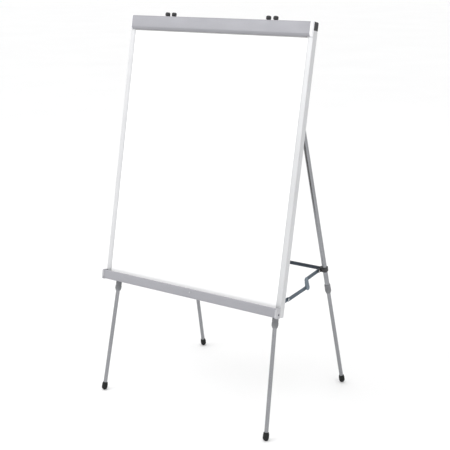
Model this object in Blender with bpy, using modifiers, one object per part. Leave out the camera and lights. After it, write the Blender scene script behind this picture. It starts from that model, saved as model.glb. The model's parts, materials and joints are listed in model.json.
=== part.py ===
"""Four-legged folding flipchart easel, modelled as separate pieces.

Metres, +Z up. The origin is on the floor, in the middle of the four feet.
The easel faces -Y and +X is its right-hand side as a reader sees it.

The board leans back, so everything on it is placed in the board's own frame,
an empty at the frame's lower edge with
    X across the board, Y behind the writing surface, Z up along the board.
Legs are placed in frames of their own, whose -Z runs down the leg.
"""
import math

import bmesh
import bpy
from mathutils import Vector

# ---------------------------------------------------------------- stance
LEAN = math.radians(11.3)           # board, back from upright
OPEN_ANGLE = math.radians(24.7)     # between the board and the rear legs
FRONT_SPLAY = math.radians(2.5)     # front legs, outwards
REAR_SPLAY = math.radians(2.8)      # rear legs, outwards
FRAME_OFF_FLOOR = 0.3896            # lower edge of the frame above the floor
GAP = 0.0003                        # between pieces that touch

# ---------------------------------------------------------------- board
BOARD_HALF = 0.350                  # half of the frame's width
RAIL_FACE = 0.0185
RAIL_DEPTH = 0.022
RAIL_WALL = 0.0016
RAIL_BACK_FLANGE = 0.0105
RAIL_INNER = BOARD_HALF - RAIL_FACE
SIDE_RAIL_TOP = 0.858
FRAME_TOP = 0.878
BLOCK_TOP = 0.8845                  # corner blocks on the side rails
TOP_RAIL_FACE = 0.0245
KEY_LEG = 0.060                     # corner key up the side rail
KEY_END = 0.295                     # and where it ends along the bottom rail
KEY_HEIGHT = 0.0100
TENON = 0.020                       # corner block into the side rail
BLOCK_OVERLAP = 0.002               # tenon into its block
PANEL_FRONT = 0.0019                # depth of the writing surface behind the rail's face
SKIN = 0.0006
CORE = 0.0080
PANEL_BACK = PANEL_FRONT + SKIN + GAP + CORE
RIB_FRONT = PANEL_BACK + GAP        # rib in the rail that holds the panel forward
RIB_WALL = 0.0014
PANEL_MARGIN = 0.0019               # panel edge to the rail's outer face

# ---------------------------------------------------------------- legs
OUTER_RADIUS = 0.0080
TUBE_WALL = 0.0010
INNER_RADIUS = 0.0065
FRONT_AXIS_DEPTH = 0.0315           # front legs behind the writing side
FRONT_TOP_S = 0.2804                # front leg's axis at the hinge's height
HINGE_S = 0.2444                    # rear leg's axis at the hinge pin
HINGE_DEPTH = 0.048
HINGE_V = 0.816                     # hinge pin up the board
TUBE_ABOVE = 0.015                  # outer tube above the hinge's height
TUBE_BELOW = 0.838                  # and below it
INNER_TOP = 0.500                   # top of the inner tube, down the leg
FOOT_RADIUS = 0.0098
FOOT_SKIRT = 0.017                  # foot above the centre of its round end
FOOT_SOCKET = 0.001                 # floor of the foot's socket above that centre
COLLAR_RADIUS = 0.0105

# ---------------------------------------------------------------- stays and crossbar
BRACE_DROP = 0.766                  # crossbar down the rear leg from the hinge
CROSSBAR_RADIUS = 0.0062
LUG_REACH = 0.018                   # rear stay pivot in front of the rear leg's axis
STAY_THICKNESS = 0.0025
STAY_HALF = STAY_THICKNESS / 2
REAR_LINK_S = 0.26675               # middle planes of the flat pieces, side by side
FRONT_LINK_S = REAR_LINK_S - STAY_THICKNESS - GAP
EAR_S = FRONT_LINK_S - STAY_THICKNESS - GAP
LUG_S = REAR_LINK_S + STAY_THICKNESS + GAP
STAY_FRONT_PIVOT = (0.046, -0.005)  # depth and height in the board's frame
REAR_LINK_LENGTH = 0.1915
FRONT_LINK_LENGTH = 0.1380
CRANK_UPPER = (0.0814, 0.0109)      # along the rear link, and off its line
CRANK_LOWER = (0.0786, -0.0185)
STAY_HALF_WIDTH = 0.0066
GRIP_HALF_WIDTH = 0.0084
GRIP_THICKNESS = 0.0040
RIVET_RADIUS = 0.0023

# ---------------------------------------------------------------- clamp bar
CLAMP_PIVOT = (0.0180, 0.8818)      # depth and height
CLAMP_TOP = 0.8835
CLAMP_SHEET = 0.0015
CLAMP_FACE_DEPTH = -0.0105
CLAMP_FACE_BOTTOM = 0.8490
CLAMP_LIP = (-0.0040, 0.8400)
CLAMP_BEND = 0.0030
LIP_CURVE = 0.008
CLAMP_HALF = 0.3405
KNUCKLE_RADIUS = 0.0030
PIVOT_STUB_RADIUS = 0.0016
HOOK_S = 0.195
HOOK_TRAVEL = 0.055
HOOK_DEPTH = 0.008
KNOB_SPACING = 0.026
KNOB_RADIUS = 0.0080
KNOB_HEIGHT = 0.0140
STUD_RADIUS = 0.0020
STUD_REACH = 0.0100                 # stud above the clamp bar
HOOK_SHEET = 0.0018
HOOK_HALF = 0.019
HOOK_TAIL = 0.0055                  # plate behind the studs
HOOK_LEG_DEPTH = -0.0020            # the part of the plate that hangs in front of the rail
HOOK_BOTTOM = 0.853
PEG_V = 0.861
PEG_LENGTH = 0.0064
PEG_RADIUS = 0.0030

# ---------------------------------------------------------------- pen tray
TRAY_DEPTH = 0.020
TRAY_HEIGHT = 0.031
TRAY_SHEET = 0.0016
TRAY_HALF = 0.3485
TRAY_CAP_WALL = 0.0013
TRAY_CAP_LENGTH = 0.0065
TRAY_BEND = 0.0050

ROUND = 24                          # sides of a tube
SMALL_ROUND = 16                    # sides of a rivet or screw

RIGHT, LEFT = 1, -1
SIDE_NAMES = {LEFT: "left", RIGHT: "right"}

# ---------------------------------------------------------------- worked-out sizes
REAR_LEAN = OPEN_ANGLE - LEAN
FRONT_TOP_Z = FRAME_OFF_FLOOR + HINGE_V * math.cos(LEAN) - FRONT_AXIS_DEPTH * math.sin(LEAN)
HINGE_Z = FRAME_OFF_FLOOR + HINGE_V * math.cos(LEAN) - HINGE_DEPTH * math.sin(LEAN)
FRONT_LENGTH = (FRONT_TOP_Z - FOOT_RADIUS) / (math.cos(FRONT_SPLAY) * math.cos(LEAN))
REAR_LENGTH = (HINGE_Z - FOOT_RADIUS) / (math.cos(REAR_SPLAY) * math.cos(REAR_LEAN))
FRONT_FOOT_Y = (HINGE_V * math.sin(LEAN) + FRONT_AXIS_DEPTH * math.cos(LEAN)
                - FRONT_LENGTH * math.cos(FRONT_SPLAY) * math.sin(LEAN))
REAR_FOOT_Y = (HINGE_V * math.sin(LEAN) + HINGE_DEPTH * math.cos(LEAN)
               + REAR_LENGTH * math.cos(REAR_SPLAY) * math.sin(REAR_LEAN))
FRAME_Y = -(FRONT_FOOT_Y + REAR_FOOT_Y) / 2
BRACE_V = (0.800, 0.832)            # lower and upper edge of the brace behind the board
BRACE_BACK = RIB_FRONT + RIB_WALL + 0.0078


# ================================================================ scene and helpers
for old in list(bpy.data.objects):
    bpy.data.objects.remove(old, do_unlink=True)

parts = bpy.data.collections.new("flipchart_easel")
cutters = bpy.data.collections.new("cutters")
bpy.context.scene.collection.children.link(parts)
bpy.context.scene.collection.children.link(cutters)


def material(name, colour, roughness, metallic):
    made = bpy.data.materials.new(name)
    made.use_nodes = True
    shader = made.node_tree.nodes["Principled BSDF"]
    shader.inputs["Base Color"].default_value = (*colour, 1.0)
    shader.inputs["Roughness"].default_value = roughness
    shader.inputs["Metallic"].default_value = metallic
    return made


WHITE_ENAMEL = material("white_enamel", (0.90, 0.90, 0.90), 0.18, 0.0)
HARDBOARD = material("hardboard", (0.50, 0.49, 0.47), 0.75, 0.0)
RAIL_ALUMINIUM = material("rail_aluminium", (0.72, 0.73, 0.75), 0.35, 1.0)
SATIN_GREY = material("satin_grey_aluminium", (0.48, 0.48, 0.52), 0.42, 0.7)
LEG_ALUMINIUM = material("leg_aluminium", (0.56, 0.56, 0.59), 0.30, 1.0)
ZINC_STEEL = material("zinc_steel", (0.55, 0.56, 0.58), 0.38, 1.0)
BLACK_STEEL = material("black_steel", (0.035, 0.038, 0.045), 0.45, 0.3)
BLACK_PLASTIC = material("black_plastic", (0.022, 0.022, 0.024), 0.50, 0.0)
GREY_PLASTIC = material("grey_plastic", (0.22, 0.22, 0.23), 0.50, 0.0)
PALE_PLASTIC = material("pale_plastic", (0.80, 0.80, 0.82), 0.45, 0.0)
SILVER_PLASTIC = material("silver_plastic", (0.40, 0.40, 0.42), 0.45, 0.0)
BLACK_RUBBER = material("black_rubber", (0.012, 0.014, 0.013), 0.80, 0.0)
GREY_RUBBER = material("grey_rubber", (0.26, 0.26, 0.26), 0.75, 0.0)
STAY_STEEL = material("stay_steel", (0.055, 0.075, 0.095), 0.42, 0.3)
STAY_PLASTIC = material("stay_plastic", (0.15, 0.19, 0.23), 0.50, 0.0)


def frame_empty(name, parent, location, rotation=(0.0, 0.0, 0.0)):
    empty = bpy.data.objects.new(name, None)
    empty.empty_display_size = 0.03
    parts.objects.link(empty)
    empty.parent = parent
    empty.location = location
    empty.rotation_euler = rotation
    return empty


def add_object(name, mesh, finish, parent, location=(0, 0, 0), rotation=(0, 0, 0)):
    made = bpy.data.objects.new(name, mesh)
    parts.objects.link(made)
    if finish and not mesh.materials:
        mesh.materials.append(finish)
    made.parent = parent
    made.location = location
    made.rotation_euler = rotation
    return made


def smooth(made, angle=40):
    made.data.shade_smooth()
    made.data.set_sharp_from_angle(angle=math.radians(angle))
    return made


def as_cutter(made):
    parts.objects.unlink(made)
    cutters.objects.link(made)
    made.hide_render = True
    made.display_type = "WIRE"
    return made


def boolean(made, other, operation="DIFFERENCE"):
    step = made.modifiers.new(operation.lower(), "BOOLEAN")
    step.operation = operation
    step.object = other
    return made


def bevel(made, width, segments=2, angle=40):
    step = made.modifiers.new("bevel", "BEVEL")
    step.width = width
    step.segments = segments
    step.limit_method = "ANGLE"
    step.angle_limit = math.radians(angle)
    return made


def box(name, low, high, finish, parent, edge=0.0):
    low, high = Vector(low), Vector(high)
    mesh = bpy.data.meshes.new(name)
    shape = bmesh.new()
    bmesh.ops.create_cube(shape, size=1.0)
    bmesh.ops.scale(shape, vec=high - low, verts=shape.verts)
    shape.to_mesh(mesh)
    shape.free()
    made = add_object(name, mesh, finish, parent, (low + high) / 2)
    if edge:
        bevel(made, edge)
    return made


def cylinder(name, radius, start, end, finish, parent, sides=ROUND):
    start, end = Vector(start), Vector(end)
    mesh = bpy.data.meshes.new(name)
    shape = bmesh.new()
    bmesh.ops.create_cone(shape, cap_ends=True, segments=sides, radius1=radius, radius2=radius,
                          depth=(end - start).length)
    shape.to_mesh(mesh)
    shape.free()
    turn = (end - start).to_track_quat("Z", "Y").to_euler()
    return smooth(add_object(name, mesh, finish, parent, (start + end) / 2, turn))


def pipe(name, radius, wall, top, bottom, finish, parent):
    """A round tube along the parent's Z, open at both ends."""
    mesh = bpy.data.meshes.new(name)
    shape = bmesh.new()
    bmesh.ops.create_cone(shape, cap_ends=False, segments=ROUND, radius1=radius, radius2=radius,
                          depth=top - bottom)
    shape.to_mesh(mesh)
    shape.free()
    made = smooth(add_object(name, mesh, finish, parent, (0, 0, (top + bottom) / 2)))
    step = made.modifiers.new("wall", "SOLIDIFY")
    step.thickness = wall
    step.offset = -1.0
    return made


def turned(name, profile, finish, parent, location=(0, 0, 0), rotation=(0, 0, 0), closed=False,
           sides=ROUND):
    """A profile of (radius, height) points, outer side top to bottom, turned about Z."""
    mesh = bpy.data.meshes.new(name)
    corners = [(radius, 0.0, height) for radius, height in profile]
    edges = [(i, i + 1) for i in range(len(corners) - 1)]
    if closed:
        edges.append((len(corners) - 1, 0))
    mesh.from_pydata(corners, edges, [])
    made = add_object(name, mesh, finish, parent, location, rotation)
    step = made.modifiers.new("turn", "SCREW")
    step.axis = "Z"
    step.steps = sides
    step.render_steps = sides
    step.use_merge_vertices = True
    step.merge_threshold = 0.00001
    step.use_smooth_shade = True
    return made


ALONG = {"X": (math.pi / 2, 0.0, math.pi / 2), "Y": (math.pi / 2, 0.0, 0.0), "Z": (0.0, 0.0, 0.0)}


def extruded(name, loops, start, end, along, finish, parent):
    """Flat outlines drawn across an axis, and the solid between two places along it.

    Outline points are (depth, height) along X, (across, height) along Y and
    (across, depth) along Z. A loop inside another one is a hole.
    """
    flat = bpy.data.curves.new(name + "_outline", "CURVE")
    flat.dimensions = "2D"
    flat.fill_mode = "BOTH"
    flat.extrude = abs(end - start) / 2
    for loop in loops:
        spline = flat.splines.new("POLY")
        spline.points.add(len(loop) - 1)
        for point, (first, second) in zip(spline.points, loop):
            point.co = (first, second, 0.0, 1.0)
        spline.use_cyclic_u = True
    guide = bpy.data.objects.new(name + "_outline", flat)
    parts.objects.link(guide)
    evaluated = guide.evaluated_get(bpy.context.evaluated_depsgraph_get())
    mesh = bpy.data.meshes.new_from_object(evaluated)
    mesh.name = name
    shape = bmesh.new()
    shape.from_mesh(mesh)
    bmesh.ops.remove_doubles(shape, verts=shape.verts, dist=0.00001)
    shape.to_mesh(mesh)
    shape.free()
    bpy.data.objects.remove(guide, do_unlink=True)
    middle = (start + end) / 2
    place = {"X": (middle, 0, 0), "Y": (0, middle, 0), "Z": (0, 0, middle)}[along]
    return smooth(add_object(name, mesh, finish, parent, place, ALONG[along]))


def arc(centre, radius, first, last, steps):
    """Points round a centre between two angles in degrees."""
    angles = [math.radians(first + (last - first) * i / steps) for i in range(steps + 1)]
    return [(centre[0] + radius * math.cos(a), centre[1] + radius * math.sin(a)) for a in angles]


def circle(centre, radius, sides=SMALL_ROUND):
    return arc(centre, radius, 0, 360, sides)[:-1]


def strip(centre_line, half, round_ends=False):
    """The outline of a strip of even width along a line of points."""
    points = [Vector(point) for point in centre_line]
    ways = [(b - a).normalized() for a, b in zip(points, points[1:])]
    left, right = [], []
    for index, point in enumerate(points):
        before = ways[max(index - 1, 0)]
        after = ways[min(index, len(ways) - 1)]
        normal = Vector((-before.y - after.y, before.x + after.x)).normalized()
        reach = half / max(normal.dot(Vector((-after.y, after.x))), 0.3)
        left.append(point + normal * reach)
        right.append(point - normal * reach)
    if not round_ends:
        return [tuple(p) for p in left + right[::-1]]
    end_turn = math.degrees(math.atan2(ways[-1].y, ways[-1].x))
    start_turn = math.degrees(math.atan2(ways[0].y, ways[0].x))
    end_arc = arc(points[-1], half, end_turn + 90, end_turn - 90, 8)
    start_arc = arc(points[0], half, start_turn - 90, start_turn - 270, 8)
    return [tuple(p) for p in left[1:-1]] + end_arc + [tuple(p) for p in right[-2:0:-1]] + start_arc


def turn_in_plane(point, angle):
    """A (depth, height) pair turned about X."""
    depth, height = point
    return (depth * math.cos(angle) - height * math.sin(angle),
            depth * math.sin(angle) + height * math.cos(angle))


# ================================================================ frames
board = frame_empty("board_frame", None, (0, FRAME_Y, FRAME_OFF_FLOOR), (-LEAN, 0, 0))
clamp_hinge = frame_empty("clamp_hinge", board, (0, *CLAMP_PIVOT))
rear = frame_empty("rear_frame", board, (0, HINGE_DEPTH, HINGE_V), (OPEN_ANGLE, 0, 0))
legs = {}
for side, word in SIDE_NAMES.items():
    legs["front_" + word] = frame_empty(f"front_leg_axis_{word}", board,
                                        (side * FRONT_TOP_S, FRONT_AXIS_DEPTH, HINGE_V),
                                        (0, -side * FRONT_SPLAY, 0))
    legs["rear_" + word] = frame_empty(f"rear_leg_axis_{word}", rear,
                                       (side * HINGE_S, 0, 0), (0, -side * REAR_SPLAY, 0))


# ================================================================ board and frame
def side_rail(side):
    """An extrusion with a groove for the panel and a channel behind it."""
    outer, face, flange = BOARD_HALF, RAIL_INNER, BOARD_HALF - RAIL_BACK_FLANGE
    web = BOARD_HALF - RAIL_WALL
    outline = [(outer, 0.0), (outer, RAIL_DEPTH), (flange, RAIL_DEPTH),
               (flange, RAIL_DEPTH - RAIL_WALL), (web, RAIL_DEPTH - RAIL_WALL),
               (web, RIB_FRONT + RIB_WALL), (flange, RIB_FRONT + RIB_WALL),
               (flange, RIB_FRONT), (web, RIB_FRONT), (web, RAIL_WALL), (face, RAIL_WALL),
               (face, 0.0)]
    outline = [(side * s, d) for s, d in outline]
    return extruded("side_rail_" + SIDE_NAMES[side], [outline], 0.0, SIDE_RAIL_TOP, "Z",
                    RAIL_ALUMINIUM, board)


def cross_rail(name, outer, inner, inward):
    """The same kind of channel across the board, open towards the panel."""
    web = outer + inward * RAIL_WALL
    flange = outer + inward * RAIL_BACK_FLANGE
    outline = [(0.0, outer), (RAIL_DEPTH, outer), (RAIL_DEPTH, flange),
               (RAIL_DEPTH - RAIL_WALL, flange), (RAIL_DEPTH - RAIL_WALL, web),
               (RIB_FRONT + RIB_WALL, web), (RIB_FRONT + RIB_WALL, flange), (RIB_FRONT, flange),
               (RIB_FRONT, web), (RAIL_WALL, web), (RAIL_WALL, inner), (0.0, inner)]
    end = RAIL_INNER - GAP
    return extruded(name, [outline], -end, end, "X", RAIL_ALUMINIUM, board)


for side in (LEFT, RIGHT):
    side_rail(side)
cross_rail("top_rail", FRAME_TOP, FRAME_TOP - TOP_RAIL_FACE, -1)
cross_rail("bottom_rail", 0.0, RAIL_FACE, 1)

panel_half = BOARD_HALF - PANEL_MARGIN
panel_top = SIDE_RAIL_TOP - 0.002
box("writing_surface", (-panel_half, PANEL_FRONT, PANEL_MARGIN),
    (panel_half, PANEL_FRONT + SKIN, panel_top), WHITE_ENAMEL, board)
box("panel_core", (-panel_half, PANEL_FRONT + SKIN + GAP, PANEL_MARGIN),
    (panel_half, PANEL_BACK, panel_top), HARDBOARD, board)

channel = (RIB_FRONT + RIB_WALL + GAP, RAIL_DEPTH - RAIL_WALL - GAP)
key_inner, key_outer = BOARD_HALF - RAIL_BACK_FLANGE, BOARD_HALF - RAIL_WALL - GAP
key_low = RAIL_WALL + GAP
key_outline = [(key_outer, key_low), (key_outer, KEY_LEG), (key_inner, KEY_LEG),
               (key_inner, KEY_HEIGHT), (KEY_END, KEY_HEIGHT), (KEY_END, key_low)]


def corner_key(side):
    """L-shaped key inside the channels, which joins a side rail to the bottom rail."""
    outline = [(side * s, v) for s, v in key_outline]
    return extruded("corner_key_" + SIDE_NAMES[side], [outline], *channel, "Y", GREY_PLASTIC,
                    board)


def corner_block(side):
    """Moulded block on top of a side rail, with the clamp bar's pivot stub on its inner face."""
    word = SIDE_NAMES[side]
    inner = RAIL_INNER
    low = (min(side * inner, side * BOARD_HALF), GAP, SIDE_RAIL_TOP + GAP)
    high = (max(side * inner, side * BOARD_HALF), RAIL_DEPTH, BLOCK_TOP)
    block = box("corner_block_" + word, low, high, BLACK_PLASTIC, board)
    tenon_s = sorted((side * key_inner, side * key_outer))
    tenon = box("corner_tenon_" + word, (tenon_s[0], channel[0], SIDE_RAIL_TOP - TENON),
                (tenon_s[1], channel[1], SIDE_RAIL_TOP + BLOCK_OVERLAP), None, board)
    stub = cylinder("corner_stub_" + word, PIVOT_STUB_RADIUS,
                    (side * (inner + 0.004), *CLAMP_PIVOT), (side * (inner - 0.011), *CLAMP_PIVOT),
                    None, board, SMALL_ROUND)
    bevel(block, 0.0016, 3)
    boolean(block, as_cutter(tenon), "UNION")
    boolean(block, as_cutter(stub), "UNION")
    return smooth(block)


for side in (LEFT, RIGHT):
    corner_key(side)
    corner_block(side)

brace_low, brace_high = BRACE_V
brace_front = RIB_FRONT + RIB_WALL + GAP
brace_outline = [(brace_front, brace_low), (BRACE_BACK, brace_low), (BRACE_BACK, brace_high),
                 (brace_front, brace_high), (brace_front, brace_high - RAIL_WALL),
                 (BRACE_BACK - RAIL_WALL, brace_high - RAIL_WALL),
                 (BRACE_BACK - RAIL_WALL, brace_low + RAIL_WALL),
                 (brace_front, brace_low + RAIL_WALL)]
extruded("head_brace", [brace_outline], -key_outer, key_outer, "X", RAIL_ALUMINIUM, board)


# ================================================================ fixed leg hardware
SADDLE_HALF_HEIGHT = 0.0065
SADDLE_WALL = 0.0015
SADDLE_FOOT = 0.0205                # end of the saddle's foot from the tube's axis
SADDLE_V = 0.0098                   # lower saddle up the board
upper_back = BRACE_BACK + GAP       # where the hinge brackets sit
lower_back = RAIL_DEPTH + GAP       # where the stay brackets sit


def saddle(name, back_face, middle_v, axis_s, foot_s, side):
    """A strap over the front tube, from its outer foot to a plate that it is part of."""
    radius = OUTER_RADIUS + GAP + SADDLE_WALL / 2
    foot = back_face + SADDLE_WALL / 2
    over = arc((axis_s, FRONT_AXIS_DEPTH), radius, 0, 180, 14)
    line = [(axis_s + SADDLE_FOOT, foot), (axis_s + radius, foot)] + over
    line += [(axis_s - radius, foot), (foot_s, foot)]
    outline = [(side * s, d) for s, d in strip(line, SADDLE_WALL / 2)]
    return as_cutter(extruded(name, [outline], middle_v - SADDLE_HALF_HEIGHT,
                              middle_v + SADDLE_HALF_HEIGHT, "Z", None, board))


HINGE_BASE = 0.0020
HINGE_INNER = 0.0090                # half the fork's width
HINGE_EAR = 0.0020
HINGE_EAR_BACK = 0.0575
PIN_RADIUS = 0.0029
HINGE_HALF_HEIGHT = 0.0150


def hinge_bracket(side):
    """A fork of folded sheet, with rounded ears that carry the hinge pin."""
    word = SIDE_NAMES[side]
    centre = side * HINGE_S
    outer = HINGE_INNER + HINGE_EAR
    base = upper_back + HINGE_BASE
    fork = [(centre - outer, upper_back), (centre + outer, upper_back),
            (centre + outer, HINGE_EAR_BACK), (centre + HINGE_INNER, HINGE_EAR_BACK),
            (centre + HINGE_INNER, base), (centre - HINGE_INNER, base),
            (centre - HINGE_INNER, HINGE_EAR_BACK), (centre - outer, HINGE_EAR_BACK)]
    made = extruded("hinge_bracket_" + word, [fork], HINGE_V - HINGE_HALF_HEIGHT,
                    HINGE_V + HINGE_HALF_HEIGHT, "Z", BLACK_STEEL, board)
    nose = HINGE_EAR_BACK - HINGE_DEPTH
    outline = ([(upper_back - 0.001, HINGE_V - HINGE_HALF_HEIGHT - 0.001),
                (upper_back + 0.006, HINGE_V - HINGE_HALF_HEIGHT - 0.001)]
               + arc((HINGE_DEPTH, HINGE_V), nose, -60, 60, 10)
               + [(upper_back + 0.006, HINGE_V + HINGE_HALF_HEIGHT + 0.001),
                  (upper_back - 0.001, HINGE_V + HINGE_HALF_HEIGHT + 0.001)])
    silhouette = extruded("hinge_silhouette_" + word, [outline], centre - 0.02, centre + 0.02,
                          "X", None, board)
    hole = cylinder("hinge_hole_" + word, PIN_RADIUS + GAP, (centre - 0.02, HINGE_DEPTH, HINGE_V),
                    (centre + 0.02, HINGE_DEPTH, HINGE_V), None, board, SMALL_ROUND)
    strap = saddle("hinge_saddle_" + word, upper_back, HINGE_V, FRONT_TOP_S, HINGE_S + 0.005, side)
    boolean(made, as_cutter(silhouette), "INTERSECT")
    boolean(made, as_cutter(hole))
    return boolean(made, strap, "UNION")


for side in (LEFT, RIGHT):
    hinge_bracket(side)

pin_half = HINGE_INNER + HINGE_EAR + GAP
pin_profile = [(0.0, pin_half + 0.0018), (0.0042, pin_half + 0.0014), (0.0052, pin_half),
               (PIN_RADIUS, pin_half), (PIN_RADIUS, -pin_half), (0.0052, -pin_half),
               (0.0042, -pin_half - 0.0014), (0.0, -pin_half - 0.0018)]
for side, word in SIDE_NAMES.items():
    turned("hinge_pin_" + word, pin_profile, ZINC_STEEL, board,
           (side * HINGE_S, HINGE_DEPTH, HINGE_V), (0, math.pi / 2, 0), sides=SMALL_ROUND)


# ================================================================ stay brackets
EAR_NOSE = 0.0060
STAY_FOOT_END = 0.232               # inner end of the bracket's foot
STAY_SADDLE_END = 0.250             # and of its strap


def stay_bracket(side):
    """An angle on the bottom rail's back; its ear carries the front stay pivot."""
    word = SIDE_NAMES[side]
    pivot_depth, pivot_v = STAY_FRONT_PIVOT
    base = lower_back + HINGE_BASE
    top_v = RAIL_FACE
    ear = ([(lower_back, top_v), (lower_back, 0.001), (lower_back + 0.006, -0.004)]
           + arc(STAY_FRONT_PIVOT, EAR_NOSE, -110, 70, 8) + [(lower_back + 0.008, top_v)])
    ear_low, ear_high = sorted((side * (EAR_S - STAY_HALF), side * (EAR_S + STAY_HALF)))
    made = extruded("stay_bracket_" + word, [ear, circle(STAY_FRONT_PIVOT, RIVET_RADIUS + GAP)],
                    ear_low, ear_high, "X", BLACK_STEEL, board)
    foot_low, foot_high = sorted((side * STAY_FOOT_END, side * (EAR_S + STAY_HALF - 0.0004)))
    foot = box("stay_foot_" + word, (foot_low, lower_back, 0.001),
               (foot_high, base, top_v - 0.0002), None, board)
    axis_s = FRONT_TOP_S + (HINGE_V - SADDLE_V) * math.tan(FRONT_SPLAY)
    strap = saddle("stay_saddle_" + word, lower_back, SADDLE_V, axis_s, STAY_SADDLE_END, side)
    boolean(made, as_cutter(foot), "UNION")
    return boolean(made, strap, "UNION")


for side in (LEFT, RIGHT):
    stay_bracket(side)

# ================================================================ telescoping legs
def leg_set(word, kind, length):
    """Outer tube, inner tube, foot and twist collar of one leg."""
    axis = legs[f"{kind}_{word}"]
    outer = pipe(f"{kind}_tube_{word}", OUTER_RADIUS, TUBE_WALL, TUBE_ABOVE, -TUBE_BELOW,
                 LEG_ALUMINIUM, axis)
    inner_bottom = length - FOOT_SOCKET - GAP
    pipe(f"{kind}_inner_{word}", INNER_RADIUS, TUBE_WALL, -INNER_TOP, -inner_bottom,
         LEG_ALUMINIUM, axis)
    socket = INNER_RADIUS + GAP
    foot = [(0.0, FOOT_SOCKET), (socket, FOOT_SOCKET), (socket, FOOT_SKIRT),
            (FOOT_RADIUS - 0.0012, FOOT_SKIRT), (FOOT_RADIUS, FOOT_SKIRT - 0.005)]
    foot += arc((0.0, 0.0), FOOT_RADIUS, 0, -90, 9)[:-1] + [(0.0, -FOOT_RADIUS)]
    turned(f"{kind}_foot_{word}", foot, BLACK_RUBBER, axis, (0, 0, -length))
    tube_socket = OUTER_RADIUS + GAP
    collar = [(tube_socket, 0.0130), (COLLAR_RADIUS - 0.0012, 0.0130),
              (COLLAR_RADIUS - 0.0002, 0.0115), (COLLAR_RADIUS - 0.0002, 0.0010),
              (COLLAR_RADIUS - 0.0010, 0.0), (COLLAR_RADIUS, -0.0010), (COLLAR_RADIUS, -0.0125),
              (0.0084, -0.0185), (socket, -0.0185), (socket, -GAP), (tube_socket, -GAP)]
    turned(f"{kind}_collar_{word}", collar, GREY_PLASTIC, axis, (0, 0, -TUBE_BELOW), closed=True)
    return outer


PLUG_PROFILE = [(0.0, 0.0030), (OUTER_RADIUS - 0.0015, 0.0026), (OUTER_RADIUS, 0.0010),
                (OUTER_RADIUS, GAP), (OUTER_RADIUS - TUBE_WALL - GAP, GAP),
                (OUTER_RADIUS - TUBE_WALL - GAP, -0.0060), (0.0, -0.0060)]
for kind, length in (("front", FRONT_LENGTH), ("rear", REAR_LENGTH)):
    for side, word in SIDE_NAMES.items():
        outer_tube = leg_set(word, kind, length)
        if kind == "rear":
            hole = cylinder("tube_hole_" + word, PIN_RADIUS + GAP, (side * HINGE_S - 0.02, 0, 0),
                            (side * HINGE_S + 0.02, 0, 0), None, rear, SMALL_ROUND)
            boolean(outer_tube, as_cutter(hole))
        turned(f"{kind}_tube_plug_{word}", PLUG_PROFILE, BLACK_PLASTIC, legs[f"{kind}_{word}"],
               (0, 0, TUBE_ABOVE))


# ================================================================ crossbar between the rear legs
brace_s = HINGE_S + BRACE_DROP * math.tan(REAR_SPLAY)
BRACE_BLOCK_HALF = (0.0102, 0.0106, 0.0074)
LUG_HALF_HEIGHT = 0.0065
LUG_SHOULDER = 0.006                # where the lug starts to narrow, in front of the axis
LUG_NOSE = 0.0058
LUG_OUTER = LUG_S + STAY_HALF + 0.001
block_inner = LUG_S - STAY_HALF


def brace_clamp(side):
    """Moulded clamp on the rear tube, with a lug for the stay and a seat for the crossbar."""
    word = SIDE_NAMES[side]
    low_s, high_s = sorted((side * block_inner, side * (brace_s + BRACE_BLOCK_HALF[0])))
    half_depth, half_height = BRACE_BLOCK_HALF[1:]
    block = box("brace_clamp_" + word, (low_s, -half_depth, -BRACE_DROP - half_height),
                (high_s, half_depth, -BRACE_DROP + half_height), BLACK_PLASTIC, rear)
    bevel(block, 0.0016, 3)
    lug_low, lug_high = sorted((side * block_inner, side * LUG_OUTER))
    pivot = (-LUG_REACH, -BRACE_DROP)
    upper, lower = -BRACE_DROP + LUG_HALF_HEIGHT, -BRACE_DROP - LUG_HALF_HEIGHT
    outline = [(0.0, upper), (-LUG_SHOULDER, upper)]
    outline += arc(pivot, LUG_NOSE, 90, 270, 8)
    outline += [(-LUG_SHOULDER, lower), (0.0, lower)]
    lug = extruded("brace_lug_" + word, [outline], lug_low, lug_high, "X", None, rear)
    bore = cylinder("brace_bore_" + word, OUTER_RADIUS + GAP, (0, 0, -BRACE_DROP - 0.03),
                    (0, 0, -BRACE_DROP + 0.03), None, legs["rear_" + word])
    hole = cylinder("brace_hole_" + word, RIVET_RADIUS + GAP, (side * (LUG_S - 0.01), *pivot),
                    (side * (LUG_S + 0.01), *pivot), None, rear, SMALL_ROUND)
    boolean(block, as_cutter(lug), "UNION")
    boolean(block, as_cutter(bore))
    boolean(block, as_cutter(hole))
    return block


for side in (LEFT, RIGHT):
    brace_clamp(side)
cylinder("crossbar", CROSSBAR_RADIUS, (-block_inner + GAP, 0, -BRACE_DROP),
         (block_inner - GAP, 0, -BRACE_DROP), BLACK_STEEL, rear)


# ================================================================ folding stays
def elbow_place(front_pivot, rear_pivot):
    """Where the two links meet below the line between their pivots."""
    front_pivot, rear_pivot = Vector(front_pivot), Vector(rear_pivot)
    span = rear_pivot - front_pivot
    reach = span.length
    along = (reach ** 2 + FRONT_LINK_LENGTH ** 2 - REAR_LINK_LENGTH ** 2) / (2 * reach)
    drop = math.sqrt(FRONT_LINK_LENGTH ** 2 - along ** 2)
    way = span / reach
    return front_pivot + way * along + Vector((way.y, -way.x)) * drop


open_lug = turn_in_plane((-LUG_REACH, -BRACE_DROP), OPEN_ANGLE)
rear_pivot_open = Vector((HINGE_DEPTH + open_lug[0], HINGE_V + open_lug[1]))
elbow = elbow_place(STAY_FRONT_PIVOT, rear_pivot_open)
front_way = elbow - Vector(STAY_FRONT_PIVOT)
rear_way = elbow - rear_pivot_open
front_link_turn = math.atan2(front_way.y, front_way.x)
rear_link_turn = math.atan2(-rear_way.y, -rear_way.x) - OPEN_ANGLE


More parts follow.
